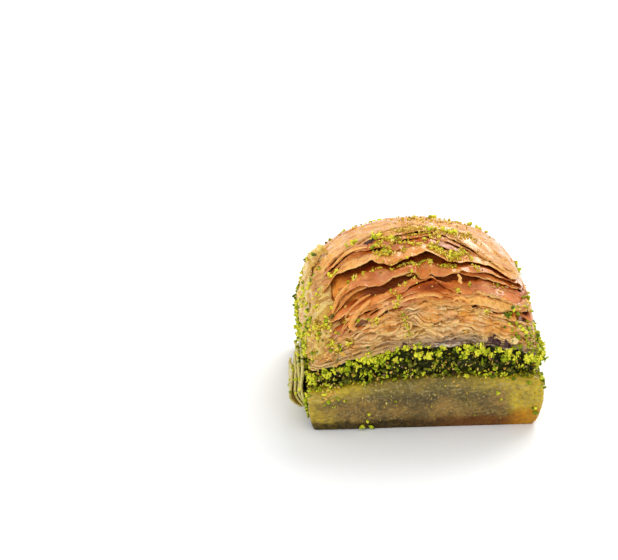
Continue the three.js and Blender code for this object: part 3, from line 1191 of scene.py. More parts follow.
class Crumbs:
    """Crumbs of one kind, joined into one mesh."""

    DETAIL_RADIUS = 0.38
    KINDS = 15

    def __init__(self, tone: CrumbTone, middle: Vector, name: str, seed: int) -> None:
        """Starts an empty heap.

        Args:
            tone: the kind of crumb.
            middle: the middle of the piece's underside in the frame, in metres.
            name: name of the object.
            seed: number that fixes their turns and shades.
        """
        self.tone = tone
        self.maker = MeshMaker(name, middle)
        self.shapes = [CrumbShape(fine, self.KINDS, seed) for fine in (False, True)]
        self.random = np.random.default_rng(seed)

    def drop(self, place: Array, radius: float, shade: float | None = None) -> None:
        """Adds one crumb, with more faces where it is large.

        Args:
            place: its middle in millimetres.
            radius: its radius in millimetres.
            shade: its place in the finish's range of shades, or None for any.
        """
        axis = Vector(self.random.normal(size=3)).normalized()
        turn = np.array(Matrix.Rotation(self.random.uniform(0, 2 * math.pi), 3, axis))
        self._add(turn, place, (radius, radius, radius), radius > self.DETAIL_RADIUS, shade)

    def lay(self, place: Array, normal: Array, size: float, shade: float | None = None) -> None:
        """Adds one thin flake that lies on a surface.

        Args:
            place: its middle in millimetres.
            normal: direction out of the surface.
            size: half its length in millimetres.
            shade: its place in the finish's range of shades, or None for any.
        """
        spin = Matrix.Rotation(self.random.uniform(0, 2 * math.pi), 3, "Z")
        lean = Vector(normal + self.random.normal(size=3) * 0.25).normalized()
        turn = np.array(lean.to_track_quat("Z", "Y").to_matrix() @ spin)
        self._add(turn, place, (size, size * self.random.uniform(0.55, 0.95), size * 0.16), True, shade)

    def _add(self, turn: Array, place: Array, size: Colour, fine: bool, shade: float | None) -> None:
        """Adds a copy of one lump.

        Args:
            turn: a matrix that turns it.
            place: its middle in millimetres.
            size: how much it is stretched along X, Y and Z before it is turned.
            fine: whether it is one of those with more faces.
            shade: its place in the finish's range of shades, or None for any.
        """
        shape = self.shapes[fine]
        kind = self.random.integers(len(shape.lumps))
        own = self.random.random() if shade is None else shade
        points = (shape.lumps[kind] * size) @ turn.T + place
        self.maker.add(points, shape.faces, shade=np.clip(own + shape.tints[kind], 0, 1))

    def clump(self, place: Array, radius: float, pieces: int, shade: float | None = None) -> None:
        """Adds a crumb with a few smaller ones that stick to it.

        Args:
            place: its middle in millimetres.
            radius: its radius in millimetres.
            pieces: how many smaller crumbs.
            shade: its place in the finish's range of shades, or None for any.
        """
        self.drop(place, radius, shade)
        for _ in range(pieces):
            way = any_way(self.random)
            size = radius * self.random.uniform(0.4, 0.75)
            own = None if shade is None else shade + self.random.normal() * 0.4
            self.drop(place + way * radius * self.random.uniform(0.8, 1.8), size, own)


class Side(Enum):
    """Where on the piece a sprinkle lies, and what its two numbers are."""

    FRONT_DOME = "x and share, in front of the crest"
    BACK_DOME = "x and share, behind the crest"
    LEFT = "y and z, on the left side"
    RIGHT = "y and z, on the right side"
    FACE = "x and z, on the cut face"
    REAR = "x and z, on the back"


@dataclass(frozen=True)
class Sprinkle:
    """A scatter of crumbs about one place, with its spread and the crumbs' radius."""

    side: Side
    across: float
    up: float
    spread: float
    count: int
    radius: float


class Scatterer:
    """Lets crumbs come to rest on the dressed pieces."""

    def __init__(self, form: Form, middle: Vector, pieces: list[Piece], seed: int) -> None:
        """Keeps what crumbs may land on.

        Args:
            form: the piece's sizes.
            middle: the middle of the piece's underside in the frame, in metres.
            pieces: what they may land on.
            seed: number that fixes the scatter.
        """
        self.form = form
        self.middle = middle
        self.pieces = pieces
        self.random = np.random.default_rng(seed)
        bpy.context.view_layer.update()

    def aim(self, side: Side, across: float, up: float) -> tuple[Array, Array]:
        """Gives a place on the plain form and the direction out of it.

        Args:
            side: where on the piece.
            across: first number of the place.
            up: second number of the place.

        Returns:
            The place and the direction, in millimetres.
        """
        form = self.form
        flat = {
            Side.LEFT: ((-form.half_width, across, up), (-1.0, 0.0, 0.12)),
            Side.RIGHT: ((form.half_width, across, up), (1.0, 0.0, 0.12)),
            Side.FACE: ((across, -form.half_depth, up), (0.0, -1.0, 0.05)),
            Side.REAR: ((across, form.half_depth, up), (0.0, 1.0, 0.05)),
        }
        if side in flat:
            place, way = flat[side]
            return np.array(place), np.array(way)
        front = side is Side.FRONT_DOME
        share = min(up, 0.995)
        return form.dome_point(across, share, front), form.dome_normal(across, share, front)

    def land(self, place: Array, way: Array) -> tuple[Array, Array] | None:
        """Gives where a crumb lands.

        Args:
            place: a place on the plain form, in millimetres.
            way: the direction that it comes from.

        Returns:
            The place in millimetres and the normal there, or None where nothing is hit.
        """
        start = Vector(place + way * 9.0) * MM + self.middle
        best = None
        for piece in self.pieces:
            found, point, normal, _ = piece.ray_cast(start, Vector(-way).normalized(), distance=0.022)
            if found and (best is None or (point - start).length < (best[0] - start).length):
                best = (point.copy(), normal.copy())
        if best is None:
            return None
        return np.array(best[0] - self.middle) / MM, np.array(best[1])

    def sprinkle(self, heap: Crumbs, spot: Sprinkle, shade: float | None = None, bury: float = 0.35) -> None:
        """Adds the crumbs of one sprinkle.

        Args:
            heap: the crumbs that they join.
            spot: the sprinkle.
            shade: their place in the range of shades, or None for any.
            bury: part of the radius by which they sink in.
        """
        place, way = self.aim(spot.side, spot.across, spot.up)
        along = np.cross(way, (0.0, 0.0, 1.0))
        along /= max(np.linalg.norm(along), 1e-6)
        other = np.cross(way, along)
        for _ in range(spot.count):
            shift = self.random.normal(size=2) * spot.spread
            landed = self.land(place + along * shift[0] + other * shift[1], way)
            if landed is None:
                continue
            radius = spot.radius * self.random.uniform(0.6, 1.25)
            if heap.tone in (CrumbTone.FLAKE, CrumbTone.SKIN):
                heap.lay(landed[0] + landed[1] * radius * 0.15, landed[1], radius, shade)
            else:
                own = None if shade is None else shade + self.random.normal() * 0.32
                heap.drop(landed[0] + landed[1] * radius * (1 - bury), radius, own)


# ---- Filling ---------------------------------------------------------------------------------
@dataclass(frozen=True)
class NutLayer:
    """A run of crumbs all along the band: how many, how high, how far in, and how large."""

    tone: CrumbTone
    count: int
    height: tuple[float, float]
    inset: tuple[float, float]
    radius: tuple[float, float]
    shade: tuple[float, float]
    pieces: int = 0


NUT_LAYERS = (
    # The two deep runs sit in the recess, and their near-black shades are painted shade.
    NutLayer(CrumbTone.DEEP, 520, (0.02, 0.95), (1.0, 1.9), (0.35, 0.65), (0.1, 0.8)),
    NutLayer(CrumbTone.DEEP, 640, (0.0, 0.75), (0.2, 1.2), (0.15, 0.45), (0.4, 1.3)),
    NutLayer(CrumbTone.BRIGHT, 255, (0.72, 1.1), (-0.4, 0.3), (0.38, 0.62), (0.4, 1.05), 7),
    NutLayer(CrumbTone.BRIGHT, 115, (0.86, 1.14), (-0.5, 0.0), (0.28, 0.5), (0.65, 1.3), 5),
    NutLayer(CrumbTone.BRIGHT, 140, (0.25, 0.7), (0.2, 1.1), (0.25, 0.5), (0.0, 0.8), 3),
    NutLayer(CrumbTone.BRIGHT, 260, (-0.05, 0.28), (0.0, 1.1), (0.2, 0.42), (0.0, 0.9), 2),
    NutLayer(CrumbTone.DUST, 700, (-0.05, 1.12), (-0.4, 0.9), (0.1, 0.22), (0.0, 1.0)),
    NutLayer(CrumbTone.FLAKE, 360, (-0.03, 0.95), (-0.2, 0.8), (0.12, 0.3), (0.0, 0.8)),
    NutLayer(CrumbTone.SKIN, 50, (0.0, 0.8), (0.1, 0.8), (0.2, 0.4), (0.0, 1.0)),
)


@dataclass
class Filling:
    """The nut band: a dark core, painted shade of the recess, under crumbs that stick out of it all round."""

    form: Form
    middle: Vector
    around: int = 420
    rows: int = 12
    recess: float = 2.0
    lumps: float = 0.4
    squareness: float = 12.0
    sunk: float = -0.1
    risen: float = 0.35
    noise: Noise = field(default_factory=lambda: Noise(SEED + 2))

    def scatter(self, heaps: dict[CrumbTone, Crumbs]) -> None:
        """Adds the band's crumbs, from the deepest out.

        Args:
            heaps: the crumbs of each kind.
        """
        form = self.form
        random = np.random.default_rng(SEED + 70)
        for layer in NUT_LAYERS:
            for _ in range(layer.count):
                quarter, along = random.integers(4), random.uniform(-1, 1)
                angle = quarter * QUARTER + math.atan(along)
                inset = random.uniform(*layer.inset)
                x, y = rounded_box(form.limits, self.squareness, inset, np.array(angle))
                floor, roof = form.pillow(form.lower_top, x, y), form.pillow(form.filling_top, x, y)
                up = random.uniform(*layer.height)
                radius, shade = random.uniform(*layer.radius), random.uniform(*layer.shade)
                if layer.tone is CrumbTone.BRIGHT and up > 0.6:
                    swell = float(self.noise.at(np.array([x, y, 50.0]), 2.6))
                    up -= 0.75 * max(0.0, swell - 0.1)
                    if swell < -0.45:
                        continue
                place = np.array([x, y, floor + up * (roof - floor)])
                heaps[layer.tone].clump(place, radius, layer.pieces, shade)

    def build_core(self, finish: Material) -> Piece:
        """Builds the core as one closed skin.

        Args:
            finish: its material.

        Returns:
            The core.
        """
        form, low, high = self.form, self.form.lower_top, self.form.filling_top
        angle = rim_angles(self.around)[None, :]
        share = np.linspace(0, 1, self.rows)[:, None]
        x, y = rounded_box(form.limits, self.squareness, self.recess, angle)
        push = self.lumps * self.noise.layered(stacked(x, y, share * 5.0), 2.2, 3)
        x, y = rounded_box(form.limits, self.squareness, self.recess - push, angle)
        floor, roof = form.pillow(low, x, y) + self.sunk, form.pillow(high, x, y) + self.risen
        side = stacked(x, y, floor + share * (roof - floor))
        below = [form.drawn_in(side[0], inward, low, self.sunk) for inward in (0.5, 0.93)]
        above = [form.drawn_in(side[-1], inward, high, self.risen) for inward in (0.93, 0.5)]
        ends = [form.pillow(low, 0.0, 0.0) + self.sunk, form.pillow(high, 0.0, 0.0) + self.risen]
        points = np.concatenate([*below, *side, *above, stacked(0.0, 0.0, np.array(ends))])
        # The core takes the deep crumbs' near-black shades, as painted shade of the recess.
        shade = 0.45 + 0.4 * self.noise.at(points, 1.5)
        maker = MeshMaker("nut_band", self.middle)
        maker.add_skin(points, self.around, shade=np.clip(shade, 0, 1))
        return maker.build(finish)


# ---- Upper pastry ----------------------------------------------------------------------------
@dataclass(frozen=True)
class Lift:
    """A place where a leaf's front lip stands up, or hangs down where the height is below 0."""

    x: float
    width: float
    height: float


@dataclass(frozen=True)
class Leaf:
    """One loose leaf, whose lip runs round the piece at a share of the way up the stack.

    Along the front the lip follows its course, which is points of x and share. Its tone is points
    of x and how much more golden it is there, and narrow is points of x and the part of its depth
    that is left. Lit is how far light reaches under the leaf above it, which lessens the painted
    shade there, beneath how far it runs on there, and sunk how far it drops there.
    """

    share: float
    course: Course
    depth: float = 5.5
    thickness: float = 0.24
    ruffle: float = 0.32
    wave: float = 7.0
    tear: float = 0.45
    tear_wave: float = 5.0
    droop: float = 0.25
    sink: float = 0.0
    creases: float = 0.17
    breaks: float = 0.9
    rise: float = 0.7
    light: float = 0.0
    lit: float = 0.0
    beneath: float = 1.8
    sunk: float = 1.7
    gape: float = 0.0
    tone: Course = ((0.0, 0.0),)
    narrow: Course = ((0.0, 1.0),)
    lifts: tuple[Lift, ...] = ()


@dataclass(frozen=True)
class Strand:
    """A narrow curled strip of leaf that follows points of x and share up the front."""

    path: Course
    width: float = 0.6
    stand: float = 0.3
    twist: float = 0.0
    tone: float = 0.6
    light: float = 0.8


BAKED_STRANDS = (
    Strand(((-12.9, 0.545), (-13.6, 0.475), (-14.6, 0.435), (-15.6, 0.39), (-16.4, 0.345)),
           0.5, 0.3, 0.5, 0.6, 0.3),
    Strand(((-10.4, 0.568), (-12.0, 0.52), (-13.0, 0.49), (-13.8, 0.44), (-14.2, 0.39), (-13.9, 0.355),
            (-13.1, 0.345)), 0.9, 0.6, -0.3, 0.9, 1.3),
    Strand(((-17.6, 0.6), (-17.0, 0.66), (-16.2, 0.715), (-15.3, 0.75), (-14.2, 0.778)),
           0.45, 0.1, 0.5, 0.9, 1.2),
    Strand(((6.0, 0.72), (6.3, 0.69), (6.1, 0.665), (6.6, 0.64)), 0.5, 0.5, 0.4, 1.0, 1.2),
    Strand(((-17.0, 0.952), (-15.6, 0.964), (-13.9, 0.973), (-12.2, 0.97), (-10.2, 0.962)),
           0.35, 0.25, 0.4, 1.0, 1.2),
    Strand(((4.6, 0.47), (5.4, 0.505), (6.4, 0.51), (7.4, 0.495), (8.0, 0.465)), 0.4, 0.3, 0.2, 0.9, 1.2),
    Strand(((-15.4, 0.5), (-14.0, 0.56), (-12.2, 0.6), (-10.4, 0.62)), 0.4, 0.1, 0.3, 0.2, 0.9),
)
PALE_STRANDS = (
    Strand(
        tuple((-7.4 + 2.1 * math.cos(turn / 2), 0.268 + 0.062 * math.sin(turn / 2)) for turn in range(1, 14)),
        0.45, 0.35,
    ),
    Strand(((-5.7, 0.3), (-4.3, 0.318), (-3.1, 0.285), (-3.2, 0.228), (-4.3, 0.205), (-5.0, 0.238),
            (-4.4, 0.262)), 0.4, 0.35),
    Strand(((5.2, 0.375), (6.0, 0.402), (7.0, 0.402), (8.0, 0.385)), 0.4),
    Strand(((12.0, 0.31), (13.2, 0.335), (14.6, 0.33), (15.8, 0.337), (16.8, 0.32)), 0.4),
    Strand(((-12.4, 0.31), (-11.0, 0.335), (-9.8, 0.34)), 0.45),
    Strand(((3.6, 0.24), (5.2, 0.262), (7.0, 0.25), (8.6, 0.265)), 0.4),
)

LOOSE_LEAVES = (
    Leaf(0.37, (
        (-19, 0.26), (-12, 0.3), (-6, 0.36), (0, 0.42), (4, 0.385), (8, 0.345), (11.5, 0.375),
        (14.1, 0.367), (15.8, 0.37), (18.1, 0.4)),
        depth=3.6, tear=0.6, tear_wave=4.0, wave=5.0, light=0.2, rise=1.4,
        lifts=(Lift(14.5, 4, 0.3), Lift(-6, 7, -0.3)),
    ),
    Leaf(0.44, (
        (-19, 0.31), (-14, 0.34), (-8, 0.4), (0, 0.45), (5, 0.42), (7.8, 0.436), (10.2, 0.405),
        (14.1, 0.412), (16.7, 0.425), (19, 0.44)),
        depth=3.6, tear=0.5, tear_wave=4.0, wave=5.0, light=0.3, rise=1.6,
        tone=((2, 0.1), (8, 0.7)), lifts=(Lift(12, 5, 0.1),),
    ),
    Leaf(0.475, (
        (-19, 0.33), (-16, 0.345), (-11, 0.385), (-8, 0.435), (-5, 0.46), (0, 0.485), (4, 0.465),
        (9, 0.455), (13.4, 0.45), (18.1, 0.5)),
        depth=3.6, tear=0.4, tear_wave=3.5, wave=4.5, breaks=0.5, light=0.3, rise=1.6,
        tone=((2, 0.0), (8, 0.6)),
    ),
    Leaf(0.5, (
        (-19, 0.32), (-17, 0.33), (-16.2, 0.362), (-14.9, 0.443), (-13.8, 0.46), (-12, 0.45),
        (-10, 0.455), (-8, 0.48), (-5, 0.505), (-2, 0.525), (1, 0.53), (4, 0.495), (7, 0.47),
        (11, 0.465), (14, 0.475), (17, 0.5)),
        depth=4.2, tear=0.3, wave=6.0, breaks=0.3, light=0.5, rise=1.5,
        tone=((2, 0.0), (7, 0.9)), lifts=(Lift(-15, 1.5, 0.5), Lift(12, 5, 0.2)),
    ),
    Leaf(0.54, (
        (-19, 0.33), (-14.6, 0.34), (-14.2, 0.39), (-13.9, 0.438), (-13.1, 0.487), (-12.3, 0.512),
        (-10.9, 0.5), (-8, 0.51), (-4.8, 0.545), (-2, 0.57), (1, 0.58), (4, 0.55), (7, 0.53),
        (11, 0.567), (15, 0.575), (18.1, 0.56)),
        depth=4.2, tear=0.3, wave=6.0, breaks=0.4, light=0.5, rise=1.2,
        tone=((-16, 0.5), (-8, 0.1), (4, 0.2), (8, 0.8)), lifts=(Lift(3.5, 1.8, 0.3), Lift(-13.2, 1.2, 0.6)),
    ),
    Leaf(0.59, (
        (-19.2, 0.48), (-17, 0.5), (-15, 0.5), (-13.5, 0.5), (-12, 0.505), (-10, 0.51),
        (-8.7, 0.52), (-6.3, 0.55), (-4.8, 0.575), (-3.3, 0.61), (0.1, 0.665), (1.5, 0.675),
        (2.6, 0.64), (4.5, 0.59), (7.1, 0.545), (10, 0.578), (12.5, 0.603), (14.8, 0.598),
        (16.1, 0.578), (18, 0.57)),
        depth=5.5, tear=0.2, wave=8.0, breaks=0.3, light=0.4, rise=0.9, gape=0.6,
        lifts=(Lift(-7, 4, 0.3), Lift(1.0, 1.5, 0.4)),
    ),
    Leaf(0.64, (
        (-19.3, 0.48), (-17.4, 0.53), (-16, 0.58), (-13, 0.62), (-9, 0.635), (-5, 0.66), (0, 0.7),
        (4, 0.68), (7, 0.66), (12, 0.7), (17, 0.74)),
        depth=5.0, tear=0.5, wave=5.0, sink=0.8, light=0.2, gape=1.2,
        lifts=(Lift(-12, 4, -0.5), Lift(-3, 4, -0.4), Lift(3, 2, 0.3)),
    ),
    Leaf(0.7, (
        (-19.5, 0.5), (-18, 0.57), (-17.4, 0.613), (-16.9, 0.64), (-16.1, 0.677), (-15.2, 0.698),
        (-13.9, 0.698), (-12.6, 0.7), (-10.8, 0.672), (-8.1, 0.672), (-6.4, 0.7), (-3.8, 0.725),
        (-1.8, 0.723), (-1.3, 0.68), (0.2, 0.69), (0.9, 0.735), (1.6, 0.7), (4.2, 0.715),
        (5.2, 0.725), (6.7, 0.75), (8.6, 0.745), (10.4, 0.765), (12.2, 0.79), (14.6, 0.8), (17, 0.83)),
        depth=7.5, tear=0.16, wave=8.0, breaks=0.2, rise=0.9, light=0.2, beneath=4.0, sunk=0.9, gape=1.2,
        narrow=((-18, 0.25), (-16.6, 0.4), (-15.0, 0.7), (-13, 1.0)),
        tone=((-19, 0.6), (-15, 0.2), (-12, 0.0)),
        lifts=(Lift(-12, 5, 0.6), Lift(-3, 3, 0.4), Lift(8, 4, 0.5), Lift(14, 3, 0.3)),
    ),
    Leaf(0.77, (
        (-20, 0.48), (-18.6, 0.54), (-17.2, 0.6), (-16, 0.64), (-14.5, 0.68), (-12.5, 0.72),
        (-8, 0.74), (0, 0.76), (8, 0.76), (17, 0.78)),
        depth=8.0, tear=0.3, wave=7.0, sink=0.7, rise=1.0, light=0.6, lit=0.35, beneath=4.5, sunk=1.0,
        gape=1.4, tone=((-19, 0.7), (-12, 0.3), (-8, 0.0)),
    ),
    Leaf(0.87, (
        (-20.5, 0.66), (-19.4, 0.76), (-18.8, 0.805), (-17.6, 0.86), (-16.8, 0.885), (-15.5, 0.883),
        (-13.4, 0.865), (-11.3, 0.863), (-10.1, 0.87), (-8.6, 0.848), (-6.2, 0.807), (-4.6, 0.83),
        (-2.3, 0.855), (0.4, 0.885), (1.2, 0.88), (2.2, 0.86), (4.3, 0.825), (7, 0.82), (9, 0.85),
        (13, 0.86), (17, 0.82)),
        depth=6.5, tear=0.18, wave=8.0, breaks=0.2, light=0.6, ruffle=0.24, tone=((-18, 0.5), (-8, 0.1)),
        lifts=(Lift(-14, 4, 0.35), Lift(-9, 3, 0.3), Lift(0.5, 4, 0.5), Lift(6, 3, 0.3)),
    ),
    Leaf(0.92, (
        (-18, 0.91), (-16, 0.93), (-14, 0.942), (-11, 0.93), (-8, 0.915), (-4, 0.925), (0, 0.945),
        (4, 0.93), (8, 0.905), (14, 0.89)),
        depth=6.0, tear=0.25, wave=6.0, breaks=0.3, sink=0.35, lit=0.4,
        tone=((-20, -0.5), (8, -0.5), (12, 0.0)),
    ),
    Leaf(0.94, (
        (-18.5, 0.93), (-17.2, 0.945), (-15.8, 0.957), (-14.1, 0.97), (-13.1, 0.97), (-11.7, 0.962),
        (-10.4, 0.95), (-8.8, 0.945), (-6, 0.955), (-3, 0.968), (1, 0.975), (4, 0.965), (7, 0.945),
        (10, 0.925), (12, 0.9)),
        depth=5.0, tear=0.2, wave=6.0, breaks=0.3, sink=0.15, lit=0.4,
        tone=((-20, -0.4), (8, -0.4), (12, 0.0)), lifts=(Lift(-13, 5, 0.25),),
    ),
)
CROWN = Leaf(0.962, (
    (-19, 0.955), (-18.1, 0.968), (-16.6, 0.983), (-15.3, 0.988), (-12.9, 0.991), (-10.2, 0.987),
    (-6.9, 0.987), (-4.3, 0.982), (-1.8, 0.989), (2, 0.992), (3.8, 0.986), (5.4, 0.975), (7.4, 0.957),
    (9, 0.94), (12, 0.905), (16, 0.87)),
    thickness=0.25, lifts=(Lift(-6, 6, 0.3), Lift(4, 5, 0.15)),
)


@dataclass
class UpperPastry:
    """The puffed stack of leaves over the filling."""

    form: Form
    middle: Vector
    around: int = 520
    front_part: float = 0.66
    lip_reach: float = 1.5
    fine_around: int = 780
    fine_leaves: int = 20
    fine_top: float = 0.56
    ridge: Course = ((0.0, -1.0), (0.15, -0.3), (0.36, 0.0), (0.62, -0.06), (0.85, -0.42))
    crevice: float = 0.5
    core_around: int = 220
    crest_share: float = 1.005
    crest_y: float = -2.2
    edge: Course = (
        (-22, 0.3), (-12, 0.34), (-6, 0.4), (0, 0.45), (4, 0.42), (8, 0.415), (11, 0.4), (14, 0.385),
        (18, 0.42),
    )
    baked_edge: Course = (
        (-22, 0.32), (-16.6, 0.34), (-12.5, 0.36), (-8, 0.43), (-2.3, 0.465), (0, 0.475),
        (1.8, 0.44), (3.6, 0.4), (6, 0.36), (9, 0.38), (14, 0.385), (18, 0.37),
    )
    side_edge: float = 0.44
    corner_border: Course = (
        (0.0, -19.5), (0.15, -18.9), (0.28, -17.6), (0.365, -16.6), (0.61, -17.4), (0.8, -18.7), (1.0, -18.0),
    )
    knots: Spots = (
        (-7.4, 0.265, 2.7, 1.25, 0.95), (-4.0, 0.23, 1.6, 0.9, 0.7), (0.6, 0.3, 2.2, 1.1, 0.8),
        (5.2, 0.36, 2.0, 0.8, 0.7), (4.6, 0.17, 2.4, 0.8, 0.5), (9.3, 0.24, 2.2, 0.9, 0.6),
        (-12.0, 0.22, 2.2, 1.0, 0.7), (13.5, 0.22, 2.4, 0.8, 0.5), (-10.5, 0.35, 2.0, 0.8, 0.6),
    )
    eye: tuple[float, float, float, float] = (-7.4, 0.268, 1.9, 0.055)
    # Painted shade in the front's hollows: spots of x, share, half width, half height and strength.
    shaded_hollows: Spots = (
        (-1.0, 0.955, 3.2, 0.03, 0.6), (-9.4, 0.95, 4.5, 0.024, 0.5), (-2.8, 0.775, 5.5, 0.04, 0.42),
        (-13.2, 0.655, 3.2, 0.06, 0.85), (1.0, 0.625, 4.6, 0.075, 0.95), (-6.9, 0.935, 1.9, 0.03, 0.5),
        (5.7, 0.87, 2.2, 0.04, 0.5), (2.5, 0.913, 1.2, 0.022, 0.45), (-7.0, 0.62, 2.5, 0.03, 0.28),
        (8.0, 0.7, 3.8, 0.045, 0.4), (-9.8, 0.5, 2.0, 0.04, 0.5), (-6.0, 0.56, 2.5, 0.04, 0.55),
        (-12.5, 0.22, 4.5, 0.14, 0.26),
    )
    noise: Noise = field(default_factory=lambda: Noise(SEED + 3))

    def lip_share(self, leaf: Leaf, angle: Array) -> Array:
        """Gives the share up the stack of a leaf's lip.

        Args:
            leaf: its sizes.
            angle: directions from the middle.

        Returns:
            One share for each direction.
        """
        share = np.full(angle.shape, leaf.share)
        for _ in range(2):
            x = self.form.leaf_plan(share, 0.0, angle)[0]
            share = leaf.share + (smooth_curve(leaf.course, x) - leaf.share) * frontal(angle)
        return share

    def sheet_share(self, share: Array, y: Array, rise: float) -> Array:
        """Gives the share up the stack of a sheet: it rises towards the middle like a shell."""
        return share + rise * share * np.maximum(0, self.form.open_share(y) - share)

    def border(self, course: Course, x: Array, front: Array) -> Array:
        """Gives a border between kinds of leaf: a course along the front, and level elsewhere."""
        return self.side_edge + (smooth_curve(course, x) - self.side_edge) * front

    def depth_below(self, points: Array) -> Array:
        """Gives how far points lie under the outside of the piece.

        Args:
            points: places in millimetres.

        Returns:
            One depth in millimetres for each.
        """
        form, (x, y, z) = self.form, np.moveaxis(points, -1, 0)
        recess = np.where(x < 0, form.side_recess_left, form.side_recess_right)
        beside = np.clip((form.half_width - np.abs(x)) / recess, 0, 1)
        return form.stack_height(np.minimum(form.open_share(y), beside), x, y) - z

    def hollow_shade(self, points: Array) -> Array:
        """Gives the shade painted on the leaves in the hollows of the front.

        Args:
            points: places in millimetres.

        Returns:
            A number from 0 to 1 for each.
        """
        x, y = points[..., 0], points[..., 1]
        share = self.form.open_share(y)
        most = np.zeros(x.shape)
        for place, level, width, height, amount in self.shaded_hollows:
            spot = np.exp(-(((x - place) / width) ** 2) - ((share - level) / height) ** 2)
            most = np.maximum(most, amount * spot)
        return np.where(y < 0, most, 0.0)

    def tone_of(self, points: Array) -> Array:
        """Gives how baked the leaves are.

        Args:
            points: places in millimetres.

        Returns:
            0 for places on the pale leaves, rising to 1 at the crest.
        """
        x, y = points[..., 0], points[..., 1]
        share = self.form.open_share(y)
        border = self.border(self.baked_edge, x, ramp(0.55, 0.75, -y / self.form.half_depth + 0.25 * share))
        return np.clip((share - border) / (1 - border), 0, 1)

    def sheet(self, leaf: Leaf, number: int, inset: Array, angle: Array) -> Array:
        """Gives the top surface of a leaf.

        Args:
            leaf: its sizes.
            number: its place in the stack, for its own unevenness.
            inset: distances in from the edge, one for each row.
            angle: directions, one for each column.

        Returns:
            A grid of points in millimetres.
        """
        form, layered = self.form, self.noise.layered
        share = self.lip_share(leaf, angle)
        edge = stacked(*form.leaf_plan(share, 0.0, angle), number * 11.0)
        facing = np.abs(np.sin(angle)) ** 2
        torn = leaf.tear * layered(edge, leaf.tear_wave, 4) * (0.45 + 0.55 * facing)
        torn = torn - leaf.breaks * ramp(0.25, 0.36, self.noise.at(edge + 5.0, 4.2))
        x, y = form.leaf_plan(share, inset - torn, angle)
        z = form.stack_height(self.sheet_share(share, y, leaf.rise), x, y) - leaf.sink
        calm = 0.35 + 0.65 * facing
        z = z + leaf.ruffle * calm * layered(stacked(x, y, leaf.share * 16.0), leaf.wave, 3)
        z = z + 0.5 * leaf.ruffle * calm * layered(stacked(x, y, number * 7.0), leaf.wave * 0.6, 3)
        z = z + leaf.creases * calm * layered(stacked(x, 0.3 * y, number * 5.0), 1.4, 3)
        folds = np.abs(self.noise.at(stacked(x, 0.7 * y, number * 9.0), 3.6))
        z = z - 2.2 * leaf.creases * calm * np.maximum(0, 0.35 - folds)
        near_lip = np.exp(-inset / self.lip_reach)
        z = z + 0.16 * self.noise.at(stacked(x, y, number * 3.0), 1.3) * np.exp(-inset / 0.7) * calm
        z = z - leaf.droop * near_lip * facing
        return stacked(x, y, self._lifted(leaf, x, z, near_lip, angle))

    @staticmethod
    def _lifted(leaf: Leaf, x: Array, z: Array, near_lip: Array, angle: Array) -> Array:
        """Gives a leaf's heights with its lip lifted here and there.

        Args:
            leaf: its sizes.
            x: places across.
            z: heights of its surface.
            near_lip: 1 at the lip, falling away to 0 further in.
            angle: directions, one for each column.

        Returns:
            The new heights.
        """
        front = ramp(0.5, 0.85, -np.sin(angle))
        for lift in leaf.lifts:
            z = z + lift.height * near_lip * front * bell(x, lift.x, lift.width)
        return z

    def add_leaf(self, maker: MeshMaker, leaf: Leaf, number: int, above: Leaf) -> None:
        """Adds a leaf as a closed band.

        Args:
            maker: the mesh that the leaf goes into.
            leaf: its sizes.
            number: its place in the stack.
            above: the next leaf whose lip lies over it.
        """
        rows = max(8, int(leaf.depth / 0.5))
        angle = rim_angles(self.around, self.front_part)[None, :]
        front = frontal(angle)
        lip_x, lip_y = self.form.leaf_plan(self.lip_share(leaf, angle), 0.0, angle)
        over_x, over_y = self.form.leaf_plan(self.lip_share(above, angle), 0.0, angle)
        covered = np.hypot(over_x - lip_x, over_y - lip_y)
        part = 1 + (np.interp(lip_x, *zip(*leaf.narrow)) - 1) * front
        reach = np.minimum(leaf.depth, covered + leaf.beneath) * part
        inset = reach * np.linspace(0, 1, rows)[:, None] ** 1.4
        top = self.sheet(leaf, number, inset, angle)
        top[..., 2] -= leaf.sunk * ramp(0.1 - leaf.gape, 1.7 - leaf.gape, inset - covered)
        thin = 0.35 + 0.65 * ramp(0, 0.6, inset)[..., None]
        bottom = top - surface_normals(top) * leaf.thickness * thin
        grid = np.concatenate([top, bottom[::-1]])
        free = np.where(part < 0.95, np.minimum(inset, reach - inset), inset)
        tone = self.tone_of(grid) + np.interp(grid[..., 0], *zip(*leaf.tone)) * front
        # Painted shade: darker the deeper a point lies under the outside of the piece and beyond the lip that
        # covers it, less where light reaches in under that lip, and darker still in the shaded hollows.
        below = np.clip((self.depth_below(grid) - 0.2) / 2.6, 0, 1)
        shadow = ramp(-0.2, 0.8, both_sides(inset) - covered)
        maker.add(
            grid.reshape(-1, 3),
            ring_faces(len(grid), self.around, True),
            height=np.clip(tone, 0, 1).ravel(),
            inset=both_sides(free).ravel(),
            leaf=np.random.default_rng(SEED + 300 + number).random() + leaf.light,
            under=np.maximum((1 - leaf.lit) * np.maximum(below, 0.95 * shadow), self.hollow_shade(grid)).ravel(),
        )

    def build_leaves(self, name: str, run: slice, shift: int, finish: Material) -> Piece:
        """Builds a run of leaves as one object.

        Args:
            name: name of the object.
            run: which of the loose leaves.
            shift: added to each leaf's place, for its own unevenness.
            finish: their material.

        Returns:
            The object.
        """
        maker = MeshMaker(name, self.middle)
        for index, leaf in list(enumerate(LOOSE_LEAVES))[run]:
            above = next((other for other in LOOSE_LEAVES[index + 1:] if other.sink < 0.5), CROWN)
            self.add_leaf(maker, leaf, shift + index, above)
        return maker.build(finish)

